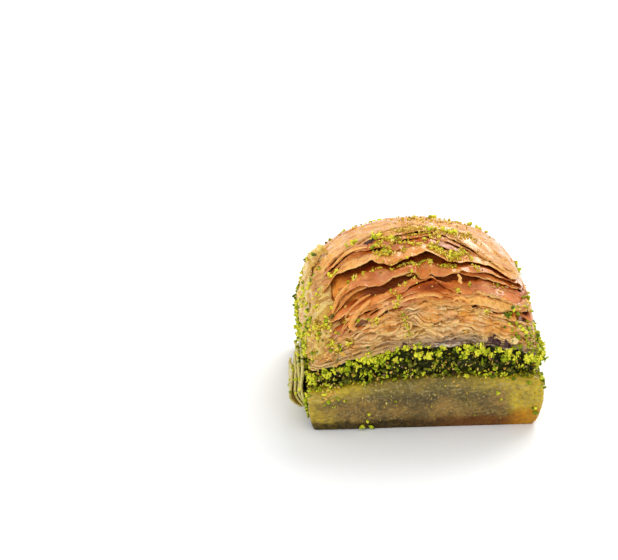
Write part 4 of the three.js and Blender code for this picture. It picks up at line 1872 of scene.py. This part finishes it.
    def build_fine(self, finish: Material) -> Piece:
        """Builds the tightly packed, crinkled leaves as one skin of ridges and crevices.

        Args:
            finish: their material.

        Returns:
            The leaves as one object.
        """
        form, noise = self.form, self.noise
        random = np.random.default_rng(SEED + 60)
        spacing = random.uniform(0.4, 2.0, self.fine_leaves)
        starts = np.concatenate([[0], np.cumsum(spacing)]) / spacing.sum()
        rows = []
        for leaf, (part, out) in itertools.product(range(self.fine_leaves), self.ridge):
            between = starts[leaf] + (starts[leaf + 1] - starts[leaf]) * part
            rows.append((between * self.fine_top, leaf, out))
        share, index, out = (np.array(column)[:, None] for column in zip(*rows))
        angle = rim_angles(self.fine_around)[None, :]
        front, facing = frontal(angle), np.abs(np.sin(angle)) ** 2
        pinch = noise.at(stacked(*form.leaf_plan(share, 0.0, angle), share * 30), 3.4)
        share = np.clip(share + 0.05 * pinch * ramp(0, 0.1, share), 0, self.fine_top)
        plan = form.leaf_plan(share, 0.0, angle)
        z = form.stack_height(share, *plan)
        torn = 0.6 * noise.layered(stacked(*plan, index * 11.0), 1.9, 4) * (0.5 + 0.5 * facing)
        torn = torn + 0.55 * noise.layered(stacked(*plan, z), 2.8, 2)
        torn = torn - 0.55 * ramp(0.28, 0.42, noise.at(stacked(*plan, index * 19.0), 3.2))
        eye_x, eye_share, eye_width, eye_height = self.eye
        eye = np.exp(-((((plan[0] - eye_x) / eye_width) ** 2 + ((share - eye_share) / eye_height) ** 2) ** 2))
        eye = eye * (plan[1] < 0)
        open_part = np.clip(0.3 + 1.5 * noise.at(stacked(*plan, index * 17.0), 3.2), 0.02, 1)
        open_part = open_part * (1 - 0.95 * eye)
        behind = ramp(0.0, 0.07, share - self.border(self.edge, plan[0], front))
        x, y = form.leaf_plan(share, 0.1 - torn - self.crevice * open_part * out + 2.6 * behind, angle)
        calm = (0.35 + 0.65 * facing) * ramp(-0.05, 0.14, share)
        wide = noise.at(stacked(*plan, z * 0.45), 6.0)
        small = noise.layered(stacked(*plan, z * 0.8), 2.2, 2)
        tiny = noise.layered(stacked(*plan, index * 3.1), 1.0, 2)
        z = z + calm * 0.9 * wide + calm * 0.34 * small
        z = z + calm * 0.2 * tiny - 1.1 * behind
        z = z + self._parted(plan[0], share) * front
        side = stacked(x, y, np.maximum(z, form.pillow(form.filling_top, x, y) + 0.3))
        roof = self.fine_top * 0.9
        below = [form.drawn_in(side[0], inward, 0.0) for inward in (0.5, 0.95)]
        ends = [form.drawn_in(side[0, :1], 0.0, level) for level in (0.0, roof)]
        points = np.concatenate([*below, *side, form.drawn_in(side[-1], 0.6, roof), *ends])
        baked = self.border(self.baked_edge, plan[0], front)
        full = np.ones(self.fine_around)
        values = {
            "height": np.maximum(ramp(-0.3, 0.06, share - baked), 0.9 * eye),
            # Painted light: the ridge tops of the crinkles take the lip highlight, and the crevices and the
            # part hidden behind the border take a painted shade.
            "inset": (-out) * full + 0.25 * behind,
            "leaf": random.random(self.fine_leaves)[index] * full,
            "under": np.clip(np.maximum(behind - out * (0.06 + 0.88 * open_part), self.hollow_shade(side)), 0, 1),
            "mauve": (1 - ramp(0.04, 0.15, share)) * ramp(-12, 2, plan[0]) * front,
        }
        before, after = 2 * self.fine_around, self.fine_around + 2
        laid = {key: np.pad(value.ravel(), (before, after)) for key, value in values.items()}
        maker = MeshMaker("crinkled_leaves", self.middle)
        maker.add_skin(points, self.fine_around, **laid)
        return maker.build(finish)

    def _parted(self, x: Array, share: Array) -> Array:
        """Gives how the leaves bow apart round the lens-shaped knots in the front.

        Args:
            x: places across.
            share: parts of the way up the stack.

        Returns:
            What is added to their heights.
        """
        total = np.zeros(x.shape)
        for place, level, width, height, strength in self.knots:
            across, up = (x - place) / width, (share - level) * 15.0 / height
            total += strength * np.tanh(up * 1.8) * np.exp(-(across**2) - up**2)
        return total

    def build_strands(self, name: str, strands: tuple[Strand, ...], finish: Material) -> Piece:
        """Builds narrow curled strips of leaf that lie on the front.

        Args:
            name: name of the object.
            strands: the strips.
            finish: their material.

        Returns:
            The strips as one object.
        """
        maker = MeshMaker(name, self.middle)
        across = np.linspace(-1, 1, 7)[:, None]
        bow = 1 - across**2
        soft = np.hanning(11)[1:-1] / np.hanning(11)[1:-1].sum()
        for number, strand in enumerate(strands):
            steps = len(strand.path)
            along = np.linspace(0, steps - 1, 12 * steps)
            plain = (np.interp(along, np.arange(steps), column) for column in zip(*strand.path))
            x, share = (np.convolve(np.pad(line, 4, mode="edge"), soft, "valid") for line in plain)
            x = x + 0.12 * self.noise.layered(stacked(along * 2.0, number * 8.0, 0.0), 2.0, 3)
            here, normal = self.form.dome_point(x, share), self.form.dome_normal(x, share)
            tangent = np.gradient(here, axis=0)
            tangent /= np.linalg.norm(tangent, axis=1, keepdims=True)
            ends = np.sin(np.pi * np.clip(along / along[-1], 0.03, 0.97)) ** 0.4
            uneven = self.noise.at(stacked(along * 3.0, 5.0, number * 6.0), 2.0)
            width = strand.width * ends * (1 + 0.3 * uneven)
            twist = strand.twist + 0.5 * self.noise.at(stacked(along * 2.0, 9.0, number * 4.0), 3.0)
            rise = strand.stand * ends + 0.2 * width * bow + twist * across * width
            beside = np.cross(normal, tangent) * (0.5 * across * width)[..., None]
            outer = here + beside + normal * rise[..., None]
            inset = 0.1 + 0.2 * np.tile(bow, (2, len(along))).ravel()
            looks = {"height": strand.tone, "leaf": strand.light, "under": 0.0, "mauve": 0.0}
            maker.add_strip(outer, outer - normal * 0.2, inset=inset, **looks)
        return maker.build(finish)

    def build_drape(self, finish: Material) -> Piece:
        """Builds the crumpled leaf that has settled over the left front corner.

        Args:
            finish: its material.

        Returns:
            The leaf.
        """
        form, layered = self.form, self.noise.layered
        up = np.linspace(0, 1, 102)[:, None]
        across = np.linspace(0, 1, 140)[None, :]
        ragged = 0.5 * layered(stacked(up * 14, 0.0, 3.0), 3.0, 3)
        first = math.radians(146) + 0.06 * layered(stacked(up * 14, 0.0, 8.0), 4.0, 3)
        last = self._corner_angle(0.15 + 0.82 * np.sin(up[:, 0] * QUARTER), ragged[:, 0])[:, None]
        angle = first + (last - first) * across
        low = 0.15 + 0.07 * layered(stacked(angle * 20, 0.0, 5.0), 5.0, 3)
        share = low + (0.965 - low) * np.sin(up * QUARTER)
        behind = bell(angle, math.radians(158), 0.15) * ramp(0, 0.08, across)
        over = 3.2 * ramp(0.75, 1.0, up) * behind
        x, y = form.leaf_plan(share, over, angle)
        z = form.stack_height(share, x, y) + 2.8 * behind * ramp(0.5, 0.85, up) * (1 - 0.8 * ramp(0.9, 1, up))
        place = stacked(x, y, z)
        edges = ramp(0, 0.07, across) * ramp(0, 0.03, 1 - across) * ramp(0, 0.06, up)
        tucked = 1.6 * (1 - ramp(0, 0.06, 1 - across))
        lumps = 0.45 * layered(place, 2.4, 3) + 0.42 * layered(place, 1.0, 2)
        out = 0.55 + 0.35 * edges + 0.9 * lumps * (0.35 + 0.65 * edges) - tucked - over
        z = z + (0.25 + 0.6 * behind) * layered(place + 40.0, 3.0, 3)
        outer = stacked(*form.leaf_plan(share, -out, angle), z)
        inner = stacked(*form.leaf_plan(share, -out + 0.38, angle), z - 0.12)
        # The raised lumps take the paler crest tones as a painted highlight, paler still towards the back,
        # and the dips between them take a painted shade.
        highlight_patches = both_sides(np.clip(0.55 + 2.0 * lumps + 0.45 * behind, 0, 1)).ravel()
        light = both_sides(0.6 + 0.6 * behind).ravel()
        under = 0.3 - 0.3 * ramp(0.0, 0.25, highlight_patches)
        maker = MeshMaker("corner_leaf", self.middle)
        maker.add_strip(outer, inner, height=highlight_patches, inset=3.0, leaf=light, under=under)
        return maker.build(finish)

    def _corner_angle(self, share: Array, shift: Array) -> Array:
        """Gives the direction in which the corner leaf ends on the front.

        Args:
            share: part of the way up the stack, one for each row.
            shift: how far it ends beyond its plain border, in millimetres.

        Returns:
            One direction for each row.
        """
        angle = np.radians(np.linspace(200, 268, 340))
        x, _ = self.form.leaf_plan(share[:, None], 0.0, angle[None, :])
        wanted = np.interp(share, *zip(*self.corner_border)) + shift
        return np.array([np.interp(goal, row, angle) for goal, row in zip(wanted, x)])

    def build_core(self, finish: Material) -> Piece:
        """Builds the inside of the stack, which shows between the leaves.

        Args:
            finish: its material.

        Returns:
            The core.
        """
        form = self.form
        angle = np.linspace(0, 2 * math.pi, self.core_around, endpoint=False)
        rings = []
        for share in np.linspace(0.05, 0.9, 18):
            x, y = form.leaf_plan(share, 1.6 + 1.6 * share, angle)
            up = self.sheet_share(share, y, 0.7)
            rings.append(stacked(x, y, form.stack_height(up, x, y) - 0.3 - 1.5 * share))
        low = [form.drawn_in(rings[0], inward, 0.02) for inward in (0.5, 0.9)]
        high = [form.drawn_in(rings[-1], inward, 0.93, -1.3) for inward in (0.85, 0.6, 0.3)]
        ends = [form.drawn_in(rings[0][:1], 0.0, level, lift) for level, lift in ((0.02, 0.0), (0.93, -1.3))]
        points = np.concatenate([*low, *rings, *high, *ends])
        x, _, z = points.T
        # Painted shade: the packed leaves are shaded dark, and only lightly at the left wall and below about
        # 24 mm.
        left = ramp(10.5, 14.0, -x) * (1 - ramp(26.2, 27.8, z))
        under = 1 - 0.88 * np.maximum(left, 1 - ramp(23, 26, z))
        height = np.clip((z - 14) / 20, 0, 1)
        maker = MeshMaker("packed_leaves", self.middle)
        maker.add_skin(points, self.core_around, height=height, inset=2.0, leaf=0.8, under=under, mauve=0.0)
        return maker.build(finish)

    def build_crown(self, finish: Material) -> Piece:
        """Builds the top leaf, which closes over the crest.

        Args:
            finish: its material.

        Returns:
            The leaf.
        """
        form, crest, crest_y = self.form, self.crest_share, self.crest_y
        angle = rim_angles(self.around, self.front_part)[None, :]
        share = self.lip_share(CROWN, angle)
        inward = np.cos(np.linspace(0, 0.97, 26) * QUARTER)[:, None]
        where = stacked(*form.leaf_plan(share, 0.0, angle), 90.0)
        torn = 0.4 * self.noise.layered(where, 3.0, 4) * (0.3 + 0.7 * np.abs(np.sin(angle)) ** 2)
        rim_x, rim_y = form.leaf_plan(share, -torn, angle)
        x, y = rim_x * inward, crest_y + (rim_y - crest_y) * inward
        z = form.stack_height(crest + (share - crest) * inward**2, x, y)
        place = stacked(x, y, 50.0)
        z = z + 0.42 * self.noise.layered(place, 7.0, 4) * (0.4 + 0.6 * inward)
        z = z + 0.24 * self.noise.layered(place, 2.3, 3)
        from_lip = np.hypot(rim_x, rim_y - crest_y) * (1 - inward)
        near_lip = np.exp(-from_lip / self.lip_reach)
        top = stacked(x, y, self._lifted(CROWN, x, z - 0.2 * near_lip, near_lip, angle))
        bottom = top - surface_normals(top) * CROWN.thickness
        centre = form.stack_height(crest, 0.0, crest_y)
        ends = stacked(0.0, crest_y, np.array([centre - CROWN.thickness, centre]))
        points = np.concatenate([*bottom[::-1], *top, ends])
        inset = np.concatenate([both_sides(from_lip[::-1]).ravel(), [20, 20]])
        light = np.random.default_rng(SEED + 400).random() + 0.5 * ramp(12.5, 16.5, -points[:, 0])
        maker = MeshMaker("crown_leaves", self.middle)
        maker.add_skin(points, self.around, height=1.0, inset=inset, leaf=light, under=0.0)
        return maker.build(finish)


# ---- Topping ---------------------------------------------------------------------------------
@dataclass(frozen=True)
class Topping:
    """The chopped pistachio that lies on the piece and sticks to its sides."""

    scatterer: Scatterer
    heaps: dict[CrumbTone, Crumbs]

    CREST_DUST = (-4.3, -3.2, -1.9, -0.6, 0.7, 2.2, 3.5, 4.8, 6.2, 7.5, 8.9, 10.0)
    CREST_CLUMPS = (-8.7, -7.8, -13.3, -12.3, 1.8, 3.0, 4.4, 5.5, 6.4)
    CLUSTERS = (
        (-9.0, 0.958), (-8.2, 0.968), (-7.0, 0.978), (-6.1, 0.978), (-5.1, 0.97), (-8.3, 0.917),
        (-7.8, 0.9), (-6.9, 0.93), (-6.2, 0.915),
        (2.0, 0.93), (2.5, 0.912), (1.6, 0.917), (3.0, 0.9), (3.5, 0.888),
        (4.7, 0.843), (5.4, 0.875), (6.0, 0.897), (6.8, 0.888), (7.4, 0.907), (6.1, 0.855), (5.2, 0.815),
        (4.6, 0.812), (7.8, 0.902),
        (-20.8, 0.657), (-20.6, 0.605), (-20.1, 0.53), (-19.5, 0.562), (-18.6, 0.522), (-17.2, 0.247),
        (-16.7, 0.198), (-14.8, 0.208), (-17.6, 0.305),
    )
    ROWS = (
        (-3.9, 0.955), (-2.9, 0.963), (-2.0, 0.95), (-1.3, 0.943), (-0.8, 0.935), (-3.5, 0.925),
        (0.7, 0.963), (2.1, 0.973), (3.5, 0.975),
        (-11.5, 0.825), (-9.6, 0.823), (-8.5, 0.818), (-6.3, 0.812), (-5.2, 0.823), (-4.2, 0.825),
        (-3.4, 0.835), (-2.5, 0.843), (-1.8, 0.818), (-1.1, 0.807), (-0.2, 0.843), (0.6, 0.85),
        (1.2, 0.828), (3.4, 0.807),
        (-5.1, 0.66), (-4.3, 0.688), (-3.5, 0.708), (-2.8, 0.733), (-2.2, 0.718), (-1.9, 0.693),
        (-4.0, 0.652),
        (-6.3, 0.593), (-5.2, 0.53), (-5.8, 0.482), (-5.1, 0.537), (-5.6, 0.463), (-13.6, 0.807),
        (-13.2, 0.83), (-9.8, 0.355), (-9.2, 0.367),
        (-4.9, 0.37), (-4.4, 0.328), (-3.9, 0.275), (-3.7, 0.223), (-3.5, 0.17),
        (9.0, 0.87), (9.6, 0.818), (10.1, 0.797), (14.1, 0.745), (8.2, 0.662), (11.0, 0.413), (5.8, 0.575),
    )
    RIGHT_CORNER = (
        (-19.5, 19.0), (-19.7, 17.0), (-19.8, 15.0), (-19.6, 12.5), (-19.5, 10.8), (-18.6, 21), (-19.0, 18.0),
        (-19.2, 16.0), (-19.2, 13.8), (-18.8, 20.0), (-18.0, 22.4), (-17.4, 23.6),
    )
    BY_THE_FLAP = (
        (-17.0, 5.2), (-17.6, 4.4), (-16.6, 4.0), (-18.0, 5.6), (-15.0, 12.6), (-14.0, 12.2), (-12.5, 12.6),
        (-16.2, 6.6), (-17.4, 3.2),
    )
    SKINS = (
        (-9.9, 0.985, 0.5, 4, 0.75), (-9.0, 0.99, 0.4, 3, 0.6), (-4.2, 0.055, 0.2, 2, 0.5),
        (12.4, 0.11, 0.5, 5, 0.9), (13.7, 0.1, 0.5, 5, 0.9), (14.8, 0.06, 0.4, 4, 0.7),
        (11.4, 0.08, 0.4, 3, 0.6), (6.8, 0.865, 0.2, 1, 0.4),
    )
    FLAKES = (
        (Side.FRONT_DOME, 16.4, 0.15, 0.25, 3, 1.25, 0.85), (Side.FRONT_DOME, -17.5, 0.08, 0.5, 4, 0.6, 0.3),
        (Side.FRONT_DOME, -16.9, 0.15, 0.5, 3, 0.6, 0.4), (Side.FRONT_DOME, -8.0, 0.93, 0.7, 3, 0.4, 0.8),
        (Side.FRONT_DOME, 3.3, 0.8, 0.8, 3, 0.4, 0.7), (Side.FACE, -19.2, 8.2, 0.5, 9, 0.42, 0.5),
        (Side.FACE, -17.8, 8.6, 0.5, 8, 0.4, 0.4), (Side.FACE, -18.8, 7.0, 0.5, 5, 0.35, 0.5),
        (Side.FACE, 5.4, 9.6, 0.5, 2, 0.5, 0.5),
    )
    ON_FACE = (
        (-11.2, 2.2, 0.42), (-11.0, 3.6, 0.3), (-10.3, 0.9, 0.45), (-12.2, 0.8, 0.5), (-17.5, 5.4, 0.3),
        (-18.4, 6.6, 0.34), (-16.6, 7.1, 0.34), (-15.2, 6.8, 0.36), (-19.4, 6.2, 0.3), (9.6, 2.5, 0.2),
        (13.5, 7.4, 0.3), (14.2, 6.2, 0.22), (-5.8, 6.2, 0.22), (20.8, 4.0, 0.4), (21.2, 2.9, 0.45),
    )

    def strew(self, tone: CrumbTone, *spot: object, shade: float | None = None) -> None:
        """Sprinkles crumbs of one kind at a spot, which is given by the sizes of a Sprinkle."""
        self.scatterer.sprinkle(self.heaps[tone], Sprinkle(*spot), shade)

    def lay(self) -> None:
        """Adds all crumbs and flakes in order."""
        self._on_crest()
        self._over_dome()
        self._on_sides()
        self._flakes()
        self._on_face()

    def _on_crest(self) -> None:
        """Adds the clusters and rows of crumbs on the crest and the steps in front of it."""
        bright, dust, front = CrumbTone.BRIGHT, CrumbTone.DUST, Side.FRONT_DOME
        for x in self.CREST_DUST:
            self.strew(dust, front, x, 0.993, 0.8, 22, 0.23)
            self.strew(dust, Side.BACK_DOME, x, 0.985, 1.5, 7, 0.26)
        for x in self.CREST_CLUMPS:
            self.strew(bright, front, x, 0.995, 0.6, 4, 0.4, shade=1.0)
        for x, share in self.CLUSTERS:
            self.strew(dust, front, x, share, 0.4, 4, 0.36, shade=0.3)
            self.strew(bright, front, x, share, 0.42, 4, 0.32, shade=0.92)
            self.strew(dust, front, x, share, 0.5, 13, 0.27)
        for x, share in self.ROWS:
            self.strew(bright, front, x, share, 0.25, 2, 0.29, shade=0.9)
            self.strew(dust, front, x, share, 0.36, 7, 0.23)

    def _over_dome(self) -> None:
        """Adds what lies here and there all over the upper pastry."""
        random = self.scatterer.random
        for _ in range(70):
            x, share = random.uniform(-19, 17), random.uniform(0.2, 0.98)
            self.strew(CrumbTone.DUST, Side.FRONT_DOME, x, share, 0.4, 1, 0.16)
        for _ in range(130):
            x, share = random.uniform(-19, 17), random.uniform(0.1, 0.98)
            self.strew(CrumbTone.DUST, Side.BACK_DOME, x, share, 0.6, 2, 0.2)
        for _ in range(55):
            x, share = random.uniform(-18, 16), math.sqrt(random.uniform(0.2, 0.86))
            self.strew(CrumbTone.BRIGHT, Side.BACK_DOME, x, share, 0.6, 2, 0.42, shade=0.9)

    def _on_sides(self) -> None:
        """Adds the crumbs that stick to the two uncut sides, the back and the foot."""
        bright, random = CrumbTone.BRIGHT, self.scatterer.random
        for side, high, count in ((Side.LEFT, 29, 165), (Side.RIGHT, 25, 110)):
            for _ in range(count):
                y = -19.3 + 38.3 * random.random() ** 1.3
                z = 8 + (high - 8) * random.random() ** 1.4
                self.strew(bright, side, y, z, 0.5, 3, 0.36, shade=random.uniform(0.2, 1))
                self.strew(CrumbTone.DUST, side, y, z, 1.0, 3, 0.2)
        for side, _ in itertools.product((Side.LEFT, Side.RIGHT), range(26)):
            y, z = random.uniform(-18, 18), random.uniform(1, 9)
            self.strew(bright, side, y, z, 0.6, 2, 0.4, shade=random.uniform(0.2, 0.9))
        for _ in range(70):
            x, z = random.uniform(-20, 20), 8 + 14 * random.random() ** 1.5
            self.strew(bright, Side.REAR, x, z, 0.6, 2, 0.42, shade=random.uniform(0.3, 1))
        # Crumbs on the front of the right side, given a low shade, partly as painted shade of that side.
        for y, z in self.RIGHT_CORNER:
            self.strew(bright, Side.RIGHT, y, z, 0.6, 8, 0.4, shade=0.4)
        for y, z in self.BY_THE_FLAP:
            self.strew(bright, Side.LEFT, y, z, 0.5, 6, 0.42, shade=0.5)
            self.strew(CrumbTone.DEEP, Side.LEFT, y, z, 0.7, 2, 0.4, shade=0.7)

    def _flakes(self) -> None:
        """Adds bits of nut skin and of broken leaves."""
        for spot in self.SKINS:
            self.strew(CrumbTone.SKIN, Side.FRONT_DOME, *spot, shade=0.45)
        for *spot, shade in self.FLAKES:
            self.strew(CrumbTone.FLAKE, *spot, shade=shade)
        random = self.scatterer.random
        for _ in range(90):
            x, share = random.uniform(-19, 17), random.uniform(0.1, 0.95)
            side = Side.FRONT_DOME if random.random() < 0.55 else Side.BACK_DOME
            size = random.uniform(0.25, 0.5)
            self.strew(CrumbTone.FLAKE, side, x, share, 0.5, 1, size, shade=random.random())

    def _on_face(self) -> None:
        """Adds the crumbs on the cut face of the lower pastry."""
        for x, z, radius in self.ON_FACE:
            self.strew(CrumbTone.BRIGHT, Side.FACE, x, z, 0.2, 2, radius, shade=0.6)
        random = self.scatterer.random
        for _ in range(40):
            x, z = random.uniform(-20.5, 20.5), 9.4 * math.sqrt(random.random())
            self.strew(CrumbTone.DUST, Side.FACE, x, z, 0.3, 1, 0.16)


# ---- Studio ----------------------------------------------------------------------------------
@dataclass(frozen=True)
class Studio:
    """Floor, soft light and the camera."""

    middle: Vector
    azimuth: float = -3.5
    elevation: float = 23.0
    lens_px: float = 1600.0
    object_px: tuple[float, float] = (414.6, 300.8)
    object_scale: float = 5.05
    object_height: float = 18.0
    sensor: float = 36.0
    floor_half: float = 1.5
    floor_drop: float = 0.02

    @property
    def target(self) -> Vector:
        """The middle of the piece, in metres."""
        return self.middle + Vector((0, 0, self.object_height * MM))

    def place_camera(self) -> None:
        """Adds the camera so that the piece stands at its place in the picture."""
        width, height = FRAME_SIZE
        turn, tilt = math.radians(self.azimuth), math.radians(self.elevation)
        forward = Vector((-math.sin(turn) * math.cos(tilt), math.cos(turn) * math.cos(tilt), -math.sin(tilt)))
        right = Vector((math.cos(turn), math.sin(turn), 0))
        up = right.cross(forward)
        across = (self.object_px[0] - width / 2) / self.lens_px
        down = (self.object_px[1] - height / 2) / self.lens_px
        way = (right * across - up * down + forward).normalized()
        distance = self.lens_px / self.object_scale * MM
        lens = bpy.data.cameras.new("camera")
        lens.sensor_width = self.sensor
        lens.lens = self.lens_px / width * self.sensor
        lens.clip_start = 0.01
        camera = linked("camera", lens)
        turned = Matrix((right, up, -forward)).transposed().to_4x4()
        camera.matrix_world = Matrix.Translation(self.target - way * distance) @ turned
        bpy.context.scene.camera = camera

    def lay_floor(self) -> None:
        """Adds the pale floor."""
        mesh = bpy.data.meshes.new("floor")
        half = self.floor_half
        corners = [(-half, -half, 0), (half, -half, 0), (half, half, 0), (-half, half, 0)]
        mesh.from_pydata(corners, [], [(0, 1, 2, 3)])
        floor = linked("floor", mesh)
        floor.location.z = -self.floor_drop * MM
        finish = bpy.data.materials.new("pale_board")
        finish.use_nodes = True
        shader = finish.node_tree.nodes["Principled BSDF"]
        shader.inputs["Base Color"].default_value = (0.88, 0.9, 0.93, 1)
        shader.inputs["Roughness"].default_value = 0.45
        mesh.materials.append(finish)

    def add_light(self, name: str, place: Colour, size: float, power: float, colour: Colour) -> None:
        """Adds a square soft light that points at the piece.

        Args:
            name: its name.
            place: its place in metres.
            size: length of its side in metres.
            power: its power in watts.
            colour: its colour.
        """
        lamp = bpy.data.lights.new(name, "AREA")
        lamp.shape = "SQUARE"
        lamp.size = size
        lamp.energy = power
        lamp.color = colour
        made = linked(name, lamp)
        made.location = place
        made.rotation_euler = (self.target - Vector(place)).to_track_quat("-Z", "Y").to_euler()

    def light(self) -> None:
        """Adds the lights and the bright surroundings."""
        world = bpy.data.worlds.new("surroundings")
        bpy.context.scene.world = world
        world.use_nodes = True
        background = world.node_tree.nodes["Background"]
        background.inputs["Color"].default_value = (1.0, 0.985, 0.96, 1)
        background.inputs["Strength"].default_value = 0.9
        self.add_light("window", (0.35, 0.55, 0.6), 0.55, 5.5, (1.0, 0.98, 0.95))
        self.add_light("fill", (-0.5, -0.5, 0.45), 0.5, 2.2, (1.0, 0.99, 0.97))
        bpy.context.scene.view_settings.view_transform = "Standard"


# ---- Assembly --------------------------------------------------------------------------------
def underside_middle(slab: Piece) -> Vector:
    """Gives the middle of the flat underside of the slab's solid.

    Args:
        slab: the solid of the lower pastry.

    Returns:
        The point in the frame, in metres.
    """
    points = np.array([v.co for v in slab.data.vertices])
    foot = points[points[:, 2] < 1e-5]
    return Vector(((foot[:, 0].min() + foot[:, 0].max()) / 2, (foot[:, 1].min() + foot[:, 1].max()) / 2, 0))


def empty_heaps(prefix: str, middle: Vector, seed: int) -> dict[CrumbTone, Crumbs]:
    """Starts a heap for each kind of crumb.

    Args:
        prefix: start of the heaps' names.
        middle: the middle of the piece's underside in the frame, in metres.
        seed: number that fixes the first heap, and one less than that of the next.

    Returns:
        The heaps, by their kinds.
    """
    kinds = enumerate(CrumbTone, seed)
    return {tone: Crumbs(tone, middle, prefix + tone.value, number) for number, tone in kinds}


def settle(pieces: list[Piece], node: str) -> None:
    """Makes pieces ride on the body and stand for a solid, and reports them.

    Args:
        pieces: the pieces.
        node: the solid that they stand for.
    """
    for piece in pieces:
        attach(piece, "root")
        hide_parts(node)
        piece.data.calc_loop_triangles()
        log.info("%s: %d triangles", piece.name, len(piece.data.loop_triangles))


def main() -> None:
    """Builds the piece and its surroundings in order."""
    logging.basicConfig(level=logging.INFO, format="%(name)s: %(message)s")
    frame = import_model()
    form = Form()
    middle = underside_middle(frame["nodes"]["lower_pastry"])
    studio = Studio(middle)
    studio.place_camera()
    studio.lay_floor()
    studio.light()

    groups = Groups()
    leaves = {tone: LeafFinish(groups, tone).material for tone in LeafTone}
    nuts = {tone: CrumbFinish(groups, tone).material for tone in CrumbTone}
    soaked = SoakedFinish(groups).material

    slab = LowerPastry(form, middle).build_slab(soaked)
    flap = PeeledFlap(form, middle).build(soaked)
    settle([slab, flap], "lower_pastry")

    filling = Filling(form, middle)
    band = filling.build_core(nuts[CrumbTone.DEEP])
    heaps = empty_heaps("filling_", middle, SEED + 80)
    filling.scatter(heaps)
    crumbs = [heap.maker.build(nuts[tone], False) for tone, heap in heaps.items()]
    settle([band, *crumbs], "pistachio_filling")

    upper = UpperPastry(form, middle)
    core = upper.build_core(leaves[LeafTone.INNER])
    fine = upper.build_fine(leaves[LeafTone.PALE])
    low = upper.build_leaves("lower_loose_leaves", slice(0, 7), 40, leaves[LeafTone.BAKED])
    high = upper.build_leaves("upper_loose_leaves", slice(7, None), 53, leaves[LeafTone.BAKED])
    crown = upper.build_crown(leaves[LeafTone.BAKED])
    drape = upper.build_drape(leaves[LeafTone.DRAPED])
    curls = upper.build_strands("curled_strands", BAKED_STRANDS, leaves[LeafTone.BAKED])
    pale_curls = upper.build_strands("pale_strands", PALE_STRANDS, leaves[LeafTone.PALE])
    settle([core, fine, low, high, crown, drape, curls, pale_curls], "upper_pastry")

    scatterer = Scatterer(form, middle, [slab, flap, band, fine, low, high, crown, drape], SEED + 90)
    heaps = empty_heaps("scattered_", middle, SEED + 95)
    Topping(scatterer, heaps).lay()
    crumbs = [heap.maker.build(nuts[tone], False) for tone, heap in heaps.items()]
    settle(crumbs, "upper_pastry")


if __name__ == "__main__":
    main()
